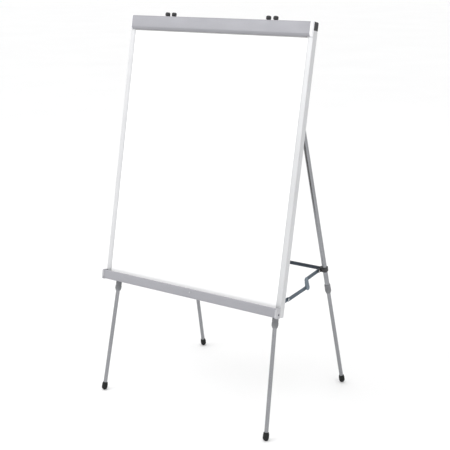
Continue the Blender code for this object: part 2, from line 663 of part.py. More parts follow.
RIVET_HEAD_RADIUS = 0.0042
RIVET_HEAD = 0.0014


def rivet(name, place, head_from, shank_to, link, axis):
    """A domed rivet joined to a link: head outside head_from, shank to shank_to, along X."""
    way = 1 if head_from > shank_to else -1
    length = abs(head_from - shank_to)
    profile = [(0.0, RIVET_HEAD), (RIVET_HEAD_RADIUS * 0.7, RIVET_HEAD * 0.75),
               (RIVET_HEAD_RADIUS, 0.0), (RIVET_RADIUS, 0.0), (RIVET_RADIUS, -length),
               (0.0, -length)]
    made = turned(name, profile, None, axis, (head_from, *place), (0, way * math.pi / 2, 0),
                  sides=SMALL_ROUND)
    return boolean(link, as_cutter(made), "UNION")


def stay_links(side):
    """The cranked rear link with its grip, and the straight front link, each with its rivets."""
    word = SIDE_NAMES[side]
    front_axis = frame_empty("stay_front_axis_" + word, board, (0, *STAY_FRONT_PIVOT),
                             (front_link_turn, 0, 0))
    rear_axis = frame_empty("stay_rear_axis_" + word, rear, (0, -LUG_REACH, -BRACE_DROP),
                            (rear_link_turn, 0, 0))
    half = STAY_HALF
    low, high = sorted((side * (FRONT_LINK_S - half), side * (FRONT_LINK_S + half)))
    front_link = extruded("stay_front_link_" + word,
                          [strip([(0, 0), (FRONT_LINK_LENGTH, 0)], STAY_HALF_WIDTH + 0.0004, True)],
                          low, high, "X", STAY_STEEL, front_axis)
    rivet("front_pivot_rivet_" + word, (0, 0), side * (EAR_S - half - GAP), side * FRONT_LINK_S,
          front_link, front_axis)
    rivet("front_elbow_rivet_" + word, (FRONT_LINK_LENGTH, 0), side * (FRONT_LINK_S - half + 0.0001),
          side * FRONT_LINK_S, front_link, front_axis)
    low, high = sorted((side * (REAR_LINK_S - half), side * (REAR_LINK_S + half)))
    line = [(0, 0), (-CRANK_UPPER[0], CRANK_UPPER[1]), (-CRANK_LOWER[0], CRANK_LOWER[1]),
            (-REAR_LINK_LENGTH, 0)]
    rear_link = extruded("stay_rear_link_" + word, [strip(line, STAY_HALF_WIDTH, True)],
                         low, high, "X", STAY_STEEL, rear_axis)
    rivet("rear_pivot_rivet_" + word, (0, 0), side * (LUG_OUTER + GAP), side * REAR_LINK_S,
          rear_link, rear_axis)
    rivet("rear_elbow_rivet_" + word, (-REAR_LINK_LENGTH, 0), side * (REAR_LINK_S + half - 0.0001),
          side * REAR_LINK_S, rear_link, rear_axis)
    upper, lower = Vector(line[1]), Vector(line[2])
    beyond = (lower - upper) * 0.05
    grip_low, grip_high = sorted((side * (REAR_LINK_S + half + GAP),
                                  side * (REAR_LINK_S + half + GAP + GRIP_THICKNESS)))
    grip = extruded("stay_grip_" + word, [strip([upper - beyond, lower + beyond], GRIP_HALF_WIDTH, True)],
                    grip_low, grip_high, "X", STAY_PLASTIC, rear_axis)
    bevel(grip, 0.0010, 2)


for side in (LEFT, RIGHT):
    stay_links(side)


# ================================================================ clamp bar
half_sheet = CLAMP_SHEET / 2
flange_v = CLAMP_TOP - half_sheet
face_d = CLAMP_FACE_DEPTH + half_sheet
clamp_line = [(CLAMP_PIVOT[0] - 0.0020, flange_v)]
clamp_line += arc((face_d + CLAMP_BEND, flange_v - CLAMP_BEND), CLAMP_BEND, 90, 180, 5)
clamp_line += [(face_d, CLAMP_FACE_BOTTOM)]
clamp_line += arc((face_d + LIP_CURVE, CLAMP_FACE_BOTTOM), LIP_CURVE, 195, 235, 4)
clamp_line += [CLAMP_LIP]
pivot_depth, pivot_v = CLAMP_PIVOT


def from_pivot(points):
    """Board-frame (depth, height) points measured from the clamp bar's pivot."""
    return [(d - pivot_depth, v - pivot_v) for d, v in points]


clamp_bar = extruded("clamp_bar", [from_pivot(strip(clamp_line, half_sheet))], -CLAMP_HALF,
                     CLAMP_HALF, "X", SATIN_GREY, clamp_hinge)
flange_end = RAIL_INNER - 2 * GAP
knuckle = as_cutter(cylinder("clamp_knuckle", KNUCKLE_RADIUS, (-flange_end, 0, 0),
                             (flange_end, 0, 0), None, clamp_hinge))
boolean(clamp_bar, knuckle, "UNION")
for side, word in SIDE_NAMES.items():
    corner_low, corner_high = sorted((side * flange_end, side * (CLAMP_HALF + 0.01)))
    notch = box("clamp_notch_" + word, (corner_low, -pivot_depth - 0.0010, -0.02),
                (corner_high, 0.01, 0.02), None, clamp_hinge)
    stub_hole = cylinder("clamp_stub_hole_" + word, PIVOT_STUB_RADIUS + GAP,
                         (side * (RAIL_INNER - 0.0130), 0, 0), (side * (RAIL_INNER + 0.01), 0, 0),
                         None, clamp_hinge, SMALL_ROUND)
    slot_half = HOOK_TRAVEL + KNOB_SPACING / 2 + STUD_RADIUS + 0.0010
    slot = box("clamp_slot_" + word,
               (side * HOOK_S - slot_half, HOOK_DEPTH - pivot_depth - STUD_RADIUS - GAP,
                CLAMP_TOP - pivot_v - 0.0022),
               (side * HOOK_S + slot_half, HOOK_DEPTH - pivot_depth + STUD_RADIUS + GAP,
                CLAMP_TOP - pivot_v + 0.002), None, clamp_hinge)
    for tool in (notch, stub_hole, slot):
        boolean(clamp_bar, as_cutter(tool))

STRIP_SECTION = [(0.0004, -0.0035), (0.0004, -0.0011), (0.0010, -0.0009), (0.0010, 0.0025),
                 (0.0046, 0.0025), (0.0053, 0.0010), (0.0053, -0.0020), (0.0040, -0.0035)]
grip_outline = from_pivot([(CLAMP_LIP[0] + d, CLAMP_LIP[1] + v) for d, v in STRIP_SECTION])
extruded("clamp_grip_strip", [grip_outline], -RAIL_INNER + 0.002, RAIL_INNER - 0.002, "X",
         GREY_RUBBER, clamp_hinge)

cap_outline = from_pivot([(-0.0010, CLAMP_TOP)]
                         + arc((CLAMP_FACE_DEPTH + CLAMP_BEND, CLAMP_TOP - CLAMP_BEND),
                               CLAMP_BEND, 90, 180, 5)
                         + [(CLAMP_FACE_DEPTH, CLAMP_FACE_BOTTOM)]
                         + arc((CLAMP_FACE_DEPTH + LIP_CURVE, CLAMP_FACE_BOTTOM), LIP_CURVE,
                               195, 235, 4)
                         + [(CLAMP_LIP[0] - 0.002, CLAMP_LIP[1] - 0.0010),
                            (CLAMP_LIP[0] + 0.003, CLAMP_LIP[1] - 0.0010)])
for side, word in SIDE_NAMES.items():
    low, high = sorted((side * (CLAMP_HALF + GAP), side * BOARD_HALF))
    extruded("clamp_cap_" + word, [cap_outline], low, high, "X", PALE_PLASTIC, clamp_hinge)


# ================================================================ pad hooks and their knobs
hook_flange = CLAMP_TOP - CLAMP_SHEET - GAP - pivot_v


def pad_hook(side):
    """A bent plate under the bar's top, with two studs up through the slot and one peg."""
    word = SIDE_NAMES[side]
    at = HOOK_DEPTH - pivot_depth
    axis = frame_empty("pad_hook_axis_" + word, clamp_hinge, (side * HOOK_S, 0, 0))
    leg = HOOK_LEG_DEPTH - pivot_depth
    middle = hook_flange - HOOK_SHEET / 2
    line = [(at + HOOK_TAIL, middle), (leg, middle), (leg, HOOK_BOTTOM - pivot_v)]
    hook = extruded("pad_hook_" + word, [strip(line, HOOK_SHEET / 2)], -HOOK_HALF, HOOK_HALF, "X",
                    BLACK_STEEL, axis)
    peg = cylinder("hook_peg_" + word, PEG_RADIUS, (0, leg, PEG_V - pivot_v),
                   (0, leg - PEG_LENGTH, PEG_V - pivot_v), None, axis, SMALL_ROUND)
    boolean(hook, as_cutter(peg), "UNION")
    for place in (-KNOB_SPACING / 2, KNOB_SPACING / 2):
        stud = cylinder(f"hook_stud_{word}_{place > 0:d}", STUD_RADIUS, (place, at, middle),
                        (place, at, CLAMP_TOP - pivot_v + STUD_REACH), None, axis, SMALL_ROUND)
        boolean(hook, as_cutter(stud), "UNION")
    return axis, at


KNOB_BORE = STUD_RADIUS + GAP
KNOB_PROFILE = [(0.0, KNOB_HEIGHT), (KNOB_RADIUS * 0.55, KNOB_HEIGHT * 0.985),
                (KNOB_RADIUS * 0.90, KNOB_HEIGHT * 0.86), (KNOB_RADIUS, KNOB_HEIGHT * 0.66),
                (KNOB_RADIUS, KNOB_HEIGHT * 0.36), (KNOB_RADIUS * 0.86, KNOB_HEIGHT * 0.14),
                (KNOB_RADIUS * 0.62, 0.0), (KNOB_BORE, 0.0), (KNOB_BORE, STUD_REACH + 0.0010),
                (0.0, STUD_REACH + 0.0010)]
for side, word in SIDE_NAMES.items():
    hook_axis, stud_depth = pad_hook(side)
    for place, label in ((-KNOB_SPACING / 2, "a"), (KNOB_SPACING / 2, "b")):
        turned(f"hook_knob_{word}_{label}", KNOB_PROFILE, BLACK_PLASTIC, hook_axis,
               (place, stud_depth, CLAMP_TOP + GAP - pivot_v))


# ================================================================ pen tray
tray_back = -GAP - TRAY_SHEET / 2
tray_front = -TRAY_DEPTH + TRAY_SHEET / 2
tray_floor = TRAY_SHEET / 2
tray_line = [(tray_back, TRAY_HEIGHT - 0.004), (tray_back, tray_floor + 0.0015),
             (tray_back - 0.0015, tray_floor)]
tray_line += arc((tray_front + TRAY_BEND, tray_floor + TRAY_BEND), TRAY_BEND, 270, 180, 6)
tray_line += [(tray_front, TRAY_HEIGHT - 0.0030), (tray_front + 0.0012, TRAY_HEIGHT - 0.0008)]
extruded("pen_tray", [strip(tray_line, TRAY_SHEET / 2)], -TRAY_HALF + 0.0025,
         TRAY_HALF - 0.0025, "X", SATIN_GREY, board)


def tray_cap(side):
    """An end plate with a short sleeve round the outside of the tray."""
    word = SIDE_NAMES[side]
    wall = TRAY_CAP_WALL
    out_front = -TRAY_DEPTH - GAP - wall
    out_low = -GAP - wall
    outer = [(-GAP, TRAY_HEIGHT), (-GAP, out_low)]
    outer += arc((out_front + TRAY_BEND, out_low + TRAY_BEND), TRAY_BEND, 270, 180, 6)
    outer += [(out_front, TRAY_HEIGHT - 0.003), (out_front + 0.003, TRAY_HEIGHT)]
    low, high = sorted((side * (TRAY_HALF - 0.0022), side * BOARD_HALF))
    plate = extruded("tray_cap_" + word, [outer], low, high, "X", SILVER_PLASTIC, board)
    middle_front, middle_low = out_front + wall / 2, out_low + wall / 2
    sleeve_line = [(-0.0020, middle_low), (middle_front + TRAY_BEND, middle_low)]
    sleeve_line += arc((middle_front + TRAY_BEND, middle_low + TRAY_BEND), TRAY_BEND, 265, 180, 6)
    sleeve_line += [(middle_front, TRAY_HEIGHT - 0.005)]
    low, high = sorted((side * (BOARD_HALF - TRAY_CAP_LENGTH), side * (BOARD_HALF - 0.001)))
    sleeve = extruded("tray_sleeve_" + word, [strip(sleeve_line, wall / 2)], low, high, "X",
                      None, board)
    return boolean(plate, as_cutter(sleeve), "UNION")


for side in (LEFT, RIGHT):
    tray_cap(side)
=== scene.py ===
"""Looks of the folding flipchart easel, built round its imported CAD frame.

Metres, +Z up, the easel faces -Y and +X is its right-hand side as a reader sees it.
Pieces are made in four kinds of local frame, each worked out from the frame's joints:
the board's (across, behind the writing surface, up the board), the rear legs' (the same,
about their hinge line), each leg's (Z up the leg) and each stay link's (Y along the link).
"""
import json
import math

import bmesh
import bpy
from mathutils import Matrix, Vector


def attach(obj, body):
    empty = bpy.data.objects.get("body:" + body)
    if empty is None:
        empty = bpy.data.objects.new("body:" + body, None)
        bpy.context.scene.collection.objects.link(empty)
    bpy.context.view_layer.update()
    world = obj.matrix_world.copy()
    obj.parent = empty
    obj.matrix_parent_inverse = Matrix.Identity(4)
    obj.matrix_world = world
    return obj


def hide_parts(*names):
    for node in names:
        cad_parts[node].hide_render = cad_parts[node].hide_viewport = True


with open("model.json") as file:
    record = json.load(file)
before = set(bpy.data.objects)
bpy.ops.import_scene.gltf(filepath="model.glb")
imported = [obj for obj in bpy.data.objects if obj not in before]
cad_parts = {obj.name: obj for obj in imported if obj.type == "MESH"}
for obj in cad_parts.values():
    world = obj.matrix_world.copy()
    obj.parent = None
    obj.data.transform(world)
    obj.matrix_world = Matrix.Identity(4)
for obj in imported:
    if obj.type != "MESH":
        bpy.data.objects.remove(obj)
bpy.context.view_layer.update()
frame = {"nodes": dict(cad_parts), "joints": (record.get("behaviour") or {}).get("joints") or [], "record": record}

# ---------------------------------------------------------------- board
BOARD_HALF = 0.350
RAIL_FACE = 0.0185
RAIL_DEPTH = 0.022
RAIL_WALL = 0.0016
RAIL_BACK_FLANGE = 0.0105
RAIL_INNER = BOARD_HALF - RAIL_FACE
SIDE_RAIL_TOP = 0.858
FRAME_TOP = 0.878
TOP_RAIL_FACE = 0.0245
RIB_FRONT = 0.0111
RIB_WALL = 0.0014
GROOVE = 0.0005                     # depth of the fine grooves along the rails
GAP = 0.0003
BLOCK_TOP = 0.8845
BRACE_V = (0.800, 0.832)
BRACE_BACK = RIB_FRONT + RIB_WALL + 0.0078
BRACE_RIVET_S = 0.3300
BRACE_RIVET_INSET = 0.009
TENON_S = (0.3398, 0.3478)
TENON_DEPTH = (0.0131, 0.0198)
TENON_REACH = 0.020
CORNER_SCREW = (0.3408, 0.012)      # across, and up from the side rail's end
SIDE_KEY_SCREWS = ((0.3446, 0.030), (0.3446, 0.050))
LOWER_KEY_SCREWS = ((0.306, 0.0053), (0.324, 0.0053))

# ---------------------------------------------------------------- legs
OUTER_RADIUS = 0.0080
INNER_RADIUS = 0.0065
TUBE_WALL = 0.0010
TUBE_ABOVE = 0.015
TUBE_BELOW = 0.838
INNER_TOP = 0.500
FRONT_AXIS_DEPTH = 0.0315
FRONT_TOP_S = 0.2804
HINGE_S = 0.2444
HINGE_DEPTH = 0.048
HINGE_V = 0.816
FRONT_SPLAY = math.radians(2.5)
REAR_SPLAY = math.radians(2.8)
FOOT_RADIUS = 0.0098
COLLAR_RADIUS = 0.0105

# ---------------------------------------------------------------- brackets, stays, crossbar
SHEET = 0.0020                      # thickness of the brackets' plates
STRAP = 0.0015                      # and of their straps
STRAP_HALF_HEIGHT = 0.0065
STRAP_FOOT = 0.0205
STRAP_SCREW = 0.0152                # across from the tube's axis
LOWER_V = 0.0098                    # lower strap up the board
FORK_INNER = 0.0090
EAR_BACK = 0.0575
FORK_HALF_HEIGHT = 0.0150
HINGE_SCREW = 0.0095                # up and down from the pin
PIN_RADIUS = 0.0029
STAY_PLATE_S = 0.232
STAY_SCREWS_S = (0.2380, 0.2510)
LOWER_SCREW_S = 0.2880
BRACE_DROP = 0.766
CROSSBAR_RADIUS = 0.0062
BOSS_RADIUS = 0.0085
BRACE_BLOCK_HALF = (0.0102, 0.0106, 0.0074)
LUG_REACH = 0.018
LUG_RADIUS = 0.0058
LUG_ROOT = (0.006, 0.0065)          # how far it reaches at full height, and half that height
STAY_THICKNESS = 0.0025
STAY_HALF = STAY_THICKNESS / 2
STAY_HALF_WIDTH = 0.0066
GRIP_HALF_WIDTH = 0.0084
GRIP_THICKNESS = 0.0040
REAR_LINK_S = 0.26675
FRONT_LINK_S = REAR_LINK_S - STAY_THICKNESS - GAP
EAR_S = FRONT_LINK_S - STAY_THICKNESS - GAP
LUG_S = REAR_LINK_S + STAY_THICKNESS + GAP
STAY_FRONT_PIVOT = (0.046, -0.005)
REAR_LINK_LENGTH = 0.1915
FRONT_LINK_LENGTH = 0.1380
CRANK_UPPER = (0.0814, 0.0109)
CRANK_LOWER = (0.0786, -0.0185)
GRIP_RIBS = range(-3, 4)
GRIP_RIB_PITCH = 0.0042

# ---------------------------------------------------------------- clamp bar, hooks, tray
CLAMP_PIVOT = (0.0180, 0.8818)
CLAMP_TOP = 0.8835
CLAMP_SHEET = 0.0015
CLAMP_FACE_DEPTH = -0.0105
CLAMP_FACE_BOTTOM = 0.8490
CLAMP_LIP = (-0.0040, 0.8400)
CLAMP_BEND = 0.0030
LIP_CURVE = 0.008
CLAMP_HALF = 0.3405
KNUCKLE_RADIUS = 0.0030
STUB_RADIUS = 0.0016
STUB_REACH = 0.011
HOOK_S = 0.195
HOOK_TRAVEL = 0.055
HOOK_DEPTH = 0.008
HOOK_SHEET = 0.0018
HOOK_HALF = 0.019
HOOK_TAIL = 0.0055
HOOK_LEG_DEPTH = -0.0020
HOOK_BOTTOM = 0.853
PEG_V = 0.861
PEG_REACH = 0.0055
PEG_RADIUS = 0.0030
KNOB_SPACING = 0.026
KNOB_RADIUS = 0.0080
KNOB_HEIGHT = 0.0140
STUD_RADIUS = 0.0020
STUD_REACH = 0.0100
TRAY_DEPTH = 0.020
TRAY_HEIGHT = 0.031
TRAY_SHEET = 0.0016
TRAY_HALF = 0.3460
TRAY_BEND = 0.0050
CAP_WALL = 0.0013
CAP_LENGTH = 0.0065
CAP_SCREW = (-0.0075, 0.0100)
TRAY_SCREWS_S = (-0.25, 0.0, 0.25)
TRAY_SCREW_V = 0.019
TRAY_FRONT_SCREW_S = 0.021

SHARP = math.radians(38)            # faces that meet at more than this keep a hard edge

LEFT, RIGHT = -1, 1
SIDES = ((LEFT, "left"), (RIGHT, "right"))
ACROSS = Vector((1, 0, 0))

# ================================================================ local frames
joints = {joint["name"]: joint for joint in frame["joints"]}


def local_frame(origin, along_y, along_z):
    """The matrix of a frame at origin with the given Y and Z directions."""
    across = along_y.cross(along_z)
    return Matrix.Translation(origin) @ Matrix((across, along_y, along_z)).transposed().to_4x4()


def upright_frame(origin, up):
    """A frame whose Z is up and whose Y lies in the plane that the easel folds in."""
    return local_frame(origin, up.cross(ACROSS).normalized(), up)


board_up = Vector(joints["knob_left_a_turn"]["axis"]).normalized()
clamp_frame = upright_frame(Vector(joints["clamp_bar_lift"]["pos_m"]), board_up)
board_frame = clamp_frame @ Matrix.Translation((0, -CLAMP_PIVOT[0], -CLAMP_PIVOT[1]))
rear_up = sum((Vector(joints[f"rear_lock_{word}_twist"]["axis"]) for _, word in SIDES), Vector())
rear_frame = upright_frame(Vector(joints["rear_legs_fold"]["pos_m"]), rear_up.normalized())
leg_frames = {}
for kind in ("front", "rear"):
    for _, word in SIDES:
        lock = joints[f"{kind}_lock_{word}_twist"]
        leg_frames[kind, word] = upright_frame(Vector(lock["pos_m"]), Vector(lock["axis"]).normalized())
hook_frames = {word: clamp_frame @ Matrix.Translation((side * HOOK_S, 0, 0)) for side, word in SIDES}

FOOT_DROP = {}                      # centre of each foot's round end, down its leg
for (kind, word), place in leg_frames.items():
    sole = place.translation.z - FOOT_RADIUS
    FOOT_DROP[kind, word] = sole / place.col[2].z


# ================================================================ materials
def noise(scale, stretch=(1, 1, 1), detail=4.0, distortion=0.0):
    """A cloudy pattern in the piece's own space, with each axis scaled by stretch."""
    return "ShaderNodeTexNoise", "Fac", stretch, {"Scale": scale, "Detail": detail, "Roughness": 0.6,
                                                  "Distortion": distortion}


def cells(scale, stretch=(1, 1, 1)):
    """A pattern of cells, brightest at their edges."""
    return "ShaderNodeTexVoronoi", "Distance", stretch, {"Scale": scale}


class Finish:
    """A Principled material whose colour, roughness and relief follow patterns."""

    def __init__(self, name, colour, roughness, metallic=0.0, specular=0.5):
        self.material = bpy.data.materials.new(name)
        self.material.use_nodes = True
        tree = self.material.node_tree
        self.nodes, self.links = tree.nodes, tree.links
        self.shader = self.nodes["Principled BSDF"]
        self.colour = colour
        self.set(self.shader, {"Base Color": (*colour, 1.0), "Roughness": roughness,
                               "Metallic": metallic, "Specular IOR Level": specular})
        self.coordinates = self.nodes.new("ShaderNodeTexCoord").outputs["Object"]

    @staticmethod
    def set(node, values):
        for socket, value in values.items():
            node.inputs[socket].default_value = value

    def pattern(self, kind, output, stretch, values):
        node = self.nodes.new(kind)
        self.set(node, values)
        mapping = self.nodes.new("ShaderNodeMapping")
        mapping.inputs["Scale"].default_value = stretch
        self.links.new(self.coordinates, mapping.inputs["Vector"])
        self.links.new(mapping.outputs["Vector"], node.inputs["Vector"])
        return node.outputs[output]

    def spread(self, value, low, high, start=0.3, end=0.7):
        """A value between low and high as the pattern goes from start to end."""
        node = self.nodes.new("ShaderNodeMapRange")
        self.set(node, {"From Min": start, "From Max": end, "To Min": low, "To Max": high})
        self.links.new(value, node.inputs["Value"])
        return node.outputs["Result"]

    def tone(self, pattern, other, start=0.35, end=0.75):
        """Shifts the colour towards another one, or a shade of its own, where the pattern is high."""
        value = self.pattern(*pattern)
        if isinstance(other, float):
            other = [min(channel * other, 1.0) for channel in self.colour]
        mix = self.nodes.new("ShaderNodeMix")
        mix.data_type = "RGBA"
        base = self.shader.inputs["Base Color"]
        if base.is_linked:
            self.links.new(base.links[0].from_socket, mix.inputs["A"])
        else:
            mix.inputs["A"].default_value = (*self.colour, 1.0)
        mix.inputs["B"].default_value = (*other, 1.0)
        self.links.new(self.spread(value, 0.0, 1.0, start, end), mix.inputs["Factor"])
        self.links.new(mix.outputs["Result"], base)

    def gloss(self, pattern, low, high):
        self.links.new(self.spread(self.pattern(*pattern), low, high), self.shader.inputs["Roughness"])

    def relief(self, pattern, distance):
        value = self.pattern(*pattern)
        node = self.nodes.new("ShaderNodeBump")
        node.inputs["Distance"].default_value = distance
        self.links.new(value, node.inputs["Height"])
        normal = self.shader.inputs["Normal"]
        if normal.is_linked:
            self.links.new(normal.links[0].from_socket, node.inputs["Normal"])
        self.links.new(node.outputs["Normal"], normal)


FINISHES = {}


def add_finish(name, colour, roughness, tones, gloss, reliefs=(), coat=None, **options):
    """Makes a finish: tones (pattern, colour or shade, start, end), gloss (pattern, low, high), reliefs
    (pattern, height) and a coat (weight, roughness)."""
    finish = Finish(name, colour, roughness, **options)
    for layer in tones:
        finish.tone(*layer)
    finish.gloss(*gloss)
    for layer in reliefs:
        finish.relief(*layer)
    if coat:
        finish.set(finish.shader, dict(zip(("Coat Weight", "Coat Roughness"), coat)))
    FINISHES[name] = finish.material


# Glossy dry-wipe enamel with faint ghosts of wiped strokes.
add_finish("white_enamel", (0.94, 0.94, 0.945), 0.16,
           [(noise(3.0, (1, 1, 0.35), 5.0, 1.2), 0.965, 0.52, 0.72)],
           (noise(9.0, (1, 1, 0.4)), 0.10, 0.24), [(noise(55.0, detail=2.0), 0.00005)], coat=(0.4, 0.08))
# Grey fibre board: a soft cloudiness, a pressed grain and flecks.
add_finish("hardboard", (0.33, 0.32, 0.30), 0.72,
           [(noise(5.0, detail=3.0), 0.86), (noise(900.0, (1, 1, 0.45), 6.0), 0.72, 0.52, 0.74),
            (cells(900.0, (1, 1, 0.5)), 1.15, 0.62, 0.95)],
           (noise(60.0), 0.62, 0.85), [(noise(650.0, detail=5.0), 0.00012)], specular=0.3)
# Satin anodised extrusion, with drawing lines along it.
add_finish("rail_aluminium", (0.56, 0.565, 0.575), 0.36, [(noise(7.0, detail=3.0), 0.93)],
           (noise(24.0, (30, 30, 1)), 0.28, 0.42),
           [(noise(35.0, (40, 40, 0.6), 3.0), 0.00003), (noise(2400.0, detail=1.0), 0.000012)], metallic=0.30)
# Grey powder coat over folded sheet: orange peel and a little rub along it.
add_finish("satin_grey", (0.302, 0.302, 0.325), 0.42,
           [(noise(6.0, (0.4, 1, 1), 3.0), 0.90), (noise(900.0, detail=2.0), 1.14, 0.55, 0.80)],
           (noise(40.0, (0.3, 1, 1)), 0.34, 0.48), [(noise(520.0, detail=2.0), 0.00006)], metallic=0.30)
# Drawn tube: fine lines down it and handling marks.
add_finish("leg_aluminium", (0.30, 0.305, 0.32), 0.24, [(noise(14.0, (2, 2, 0.5)), 0.86)],
           (noise(30.0, (30, 30, 0.6)), 0.18, 0.34), [(noise(60.0, (45, 45, 0.5), 3.0), 0.00003)],
           metallic=1.0)
add_finish("zinc_steel", (0.56, 0.57, 0.58), 0.34, [(cells(700.0), 0.72, 0.30, 0.85)],
           (noise(500.0), 0.25, 0.46), [(noise(1800.0, detail=2.0), 0.00002)], metallic=1.0)
# Stove-enamelled steel, dark blue-grey where it catches the light.
add_finish("black_steel", (0.034, 0.044, 0.058), 0.42, [(noise(60.0), 1.7, 0.45, 0.80)],
           (noise(150.0), 0.32, 0.52), [(noise(1100.0, detail=2.0), 0.00005)], metallic=0.25)
# Blue-grey lacquered flat steel, a little rubbed.
add_finish("stay_steel", (0.060, 0.082, 0.105), 0.40, [(noise(45.0, (1, 0.3, 1), 5.0), 1.6, 0.48, 0.80)],
           (noise(130.0), 0.30, 0.50), [(noise(900.0, detail=2.0), 0.00005)], metallic=0.35)
# Matt rubber with a trace of dust in its pores, and grey rubber with a slight bloom.
add_finish("black_rubber", (0.012, 0.013, 0.013), 0.78,
           [(noise(90.0, detail=6.0), (0.030, 0.030, 0.028), 0.55, 0.90)],
           (noise(120.0), 0.66, 0.88), [(noise(1400.0, detail=3.0), 0.00008)], specular=0.3)
add_finish("grey_rubber", (0.31, 0.31, 0.315), 0.74, [(noise(70.0, (0.3, 1, 1), 5.0), 1.25, 0.50, 0.85)],
           (noise(110.0), 0.64, 0.84), [(noise(1300.0, detail=3.0), 0.00006)], specular=0.3)
add_finish("studio_floor", (0.92, 0.92, 0.92), 0.65, [(noise(0.8), (0.90, 0.90, 0.90))],
           (noise(2.0), 0.60, 0.72), specular=0.2)

# Moulded plastics, faintly mottled with fine pores: mottle (scale, shade, start, end), gloss (scale,
# low, high) and pores (scale, depth).
PLASTICS = (
    ("black_plastic", (0.020, 0.020, 0.022), 0.48, (80.0, 1.6, 0.45, 0.80), (200.0, 0.38, 0.58),
     (1500.0, 0.00004)),
    ("grey_plastic", (0.185, 0.19, 0.20), 0.46, (70.0, 0.80), (160.0, 0.38, 0.56), (1300.0, 0.00004)),
    ("pale_plastic", (0.78, 0.78, 0.80), 0.42, (40.0, 0.93), (150.0, 0.34, 0.50), (1400.0, 0.00003)),
    ("silver_plastic", (0.42, 0.42, 0.44), 0.44, (45.0, 0.92), (150.0, 0.36, 0.52), (1400.0, 0.00003)),
    ("stay_plastic", (0.155, 0.195, 0.235), 0.48, (75.0, 0.80), (170.0, 0.40, 0.58), (1300.0, 0.00004)),
)
for name, colour, roughness, (mottle, *tone), (wear, *gloss), (pores, depth) in PLASTICS:
    add_finish(name, colour, roughness, [(noise(mottle), *tone)], (noise(wear), *gloss),
               [(cells(pores), depth)])


# ================================================================ shapes
def arc(centre, radius, first, last, steps):
    """Points round a centre between two angles in degrees."""
    angles = [math.radians(first + (last - first) * i / steps) for i in range(steps + 1)]
    return [(centre[0] + radius * math.cos(a), centre[1] + radius * math.sin(a)) for a in angles]


def box(left, right, low, high):
    """The corners of a rectangle."""
    return [(left, low), (right, low), (right, high), (left, high)]


def corner_arc(before, here, after, radius, steps):
    """The arc that rounds off one corner of a line."""
    before, here, after = Vector(before), Vector(here), Vector(after)
    back, forth = (before - here), (after - here)
    half = back.angle(forth) / 2
    if radius <= 0 or half > math.radians(88):
        return [tuple(here)]
    reach = min(radius / math.tan(half), 0.48 * back.length, 0.48 * forth.length)
    radius = reach * math.tan(half)
    back.normalize()
    forth.normalize()
    centre = here + (back + forth).normalized() * (radius / math.sin(half))
    start = here + back * reach - centre
    turn = start.angle_signed(here + forth * reach - centre)
    points = []
    for i in range(steps + 1):
        angle = -turn * i / steps
        cosine, sine = math.cos(angle), math.sin(angle)
        points.append((centre.x + start.x * cosine - start.y * sine,
                       centre.y + start.x * sine + start.y * cosine))
    return points


def rounded(corners, radius, steps=5):
    """A closed outline with its corners rounded; a corner may carry its own radius."""
    points = []
    for i, corner in enumerate(corners):
        before, after = corners[i - 1][:2], corners[(i + 1) % len(corners)][:2]
        own = corner[2] if len(corner) > 2 else radius
        points += corner_arc(before, corner[:2], after, own, steps)
    return points


def bent(line, radius, steps=6):
    """An open line with its bends rounded."""
    points = [line[0]]
    for before, here, after in zip(line, line[1:], line[2:]):
        points += corner_arc(before, here, after, radius, steps)
    return points + [line[-1]]


def strip(line, half, round_ends=False):
    """The outline of a strip of even width along a line."""
    points = [Vector(point) for point in line]
    ways = [(b - a).normalized() for a, b in zip(points, points[1:])]
    left, right = [], []
    for index, point in enumerate(points):
        before = ways[max(index - 1, 0)]
        after = ways[min(index, len(ways) - 1)]
        normal = Vector((-before.y - after.y, before.x + after.x)).normalized()
        reach = half / max(normal.dot(Vector((-after.y, after.x))), 0.3)
        left.append(tuple(point + normal * reach))
        right.append(tuple(point - normal * reach))
    if not round_ends:
        return left + right[::-1]
    last = math.degrees(math.atan2(ways[-1].y, ways[-1].x))
    first = math.degrees(math.atan2(ways[0].y, ways[0].x))
    return (left[1:-1] + arc(points[-1], half, last + 90, last - 90, 10) + right[-2:0:-1]
            + arc(points[0], half, first - 90, first - 270, 10))


def mirrored(outline, side):
    """An outline for the right-hand side, or its mirror image for the left."""
    return [(side * first, *rest) for first, *rest in outline]


def groove(place, width, depth, inward):
    """Four corners of a shallow groove in a straight edge that runs along the second axis."""
    edge, middle = place
    return [(edge, middle - width, 0), (edge + inward * depth, middle - width / 2, 0),
            (edge + inward * depth, middle + width / 2, 0), (edge, middle + width, 0)]


# ================================================================ solids
def solid(name, mesh):
    made = bpy.data.objects.new(name, mesh)
    bpy.context.scene.collection.objects.link(made)
    return made


def closed_mesh(name, shape):
    """Turns a shape's faces outwards and hands its mesh over."""
    bmesh.ops.recalc_face_normals(shape, faces=shape.faces)
    mesh = bpy.data.meshes.new(name)
    shape.to_mesh(mesh)
    shape.free()
    return mesh


def prism(name, outline, low, high, along):
    """The solid between two places along an axis.

    Outlines are (behind, up) along X, (across, up) along Y and (across, behind) along Z.
    """
    order = {"X": (2, 0, 1), "Y": (0, 2, 1), "Z": (0, 1, 2)}[along]
    shape = bmesh.new()
    rings = []
    for place in (min(low, high), max(low, high)):
        corners = [(first, second, place) for first, second in outline]
        rings.append([shape.verts.new([corner[i] for i in order]) for corner in corners])
    for ring in rings:
        shape.faces.new(ring)
    for i in range(len(outline)):
        shape.faces.new((rings[0][i - 1], rings[0][i], rings[1][i], rings[1][i - 1]))
    return solid(name, closed_mesh(name, shape))


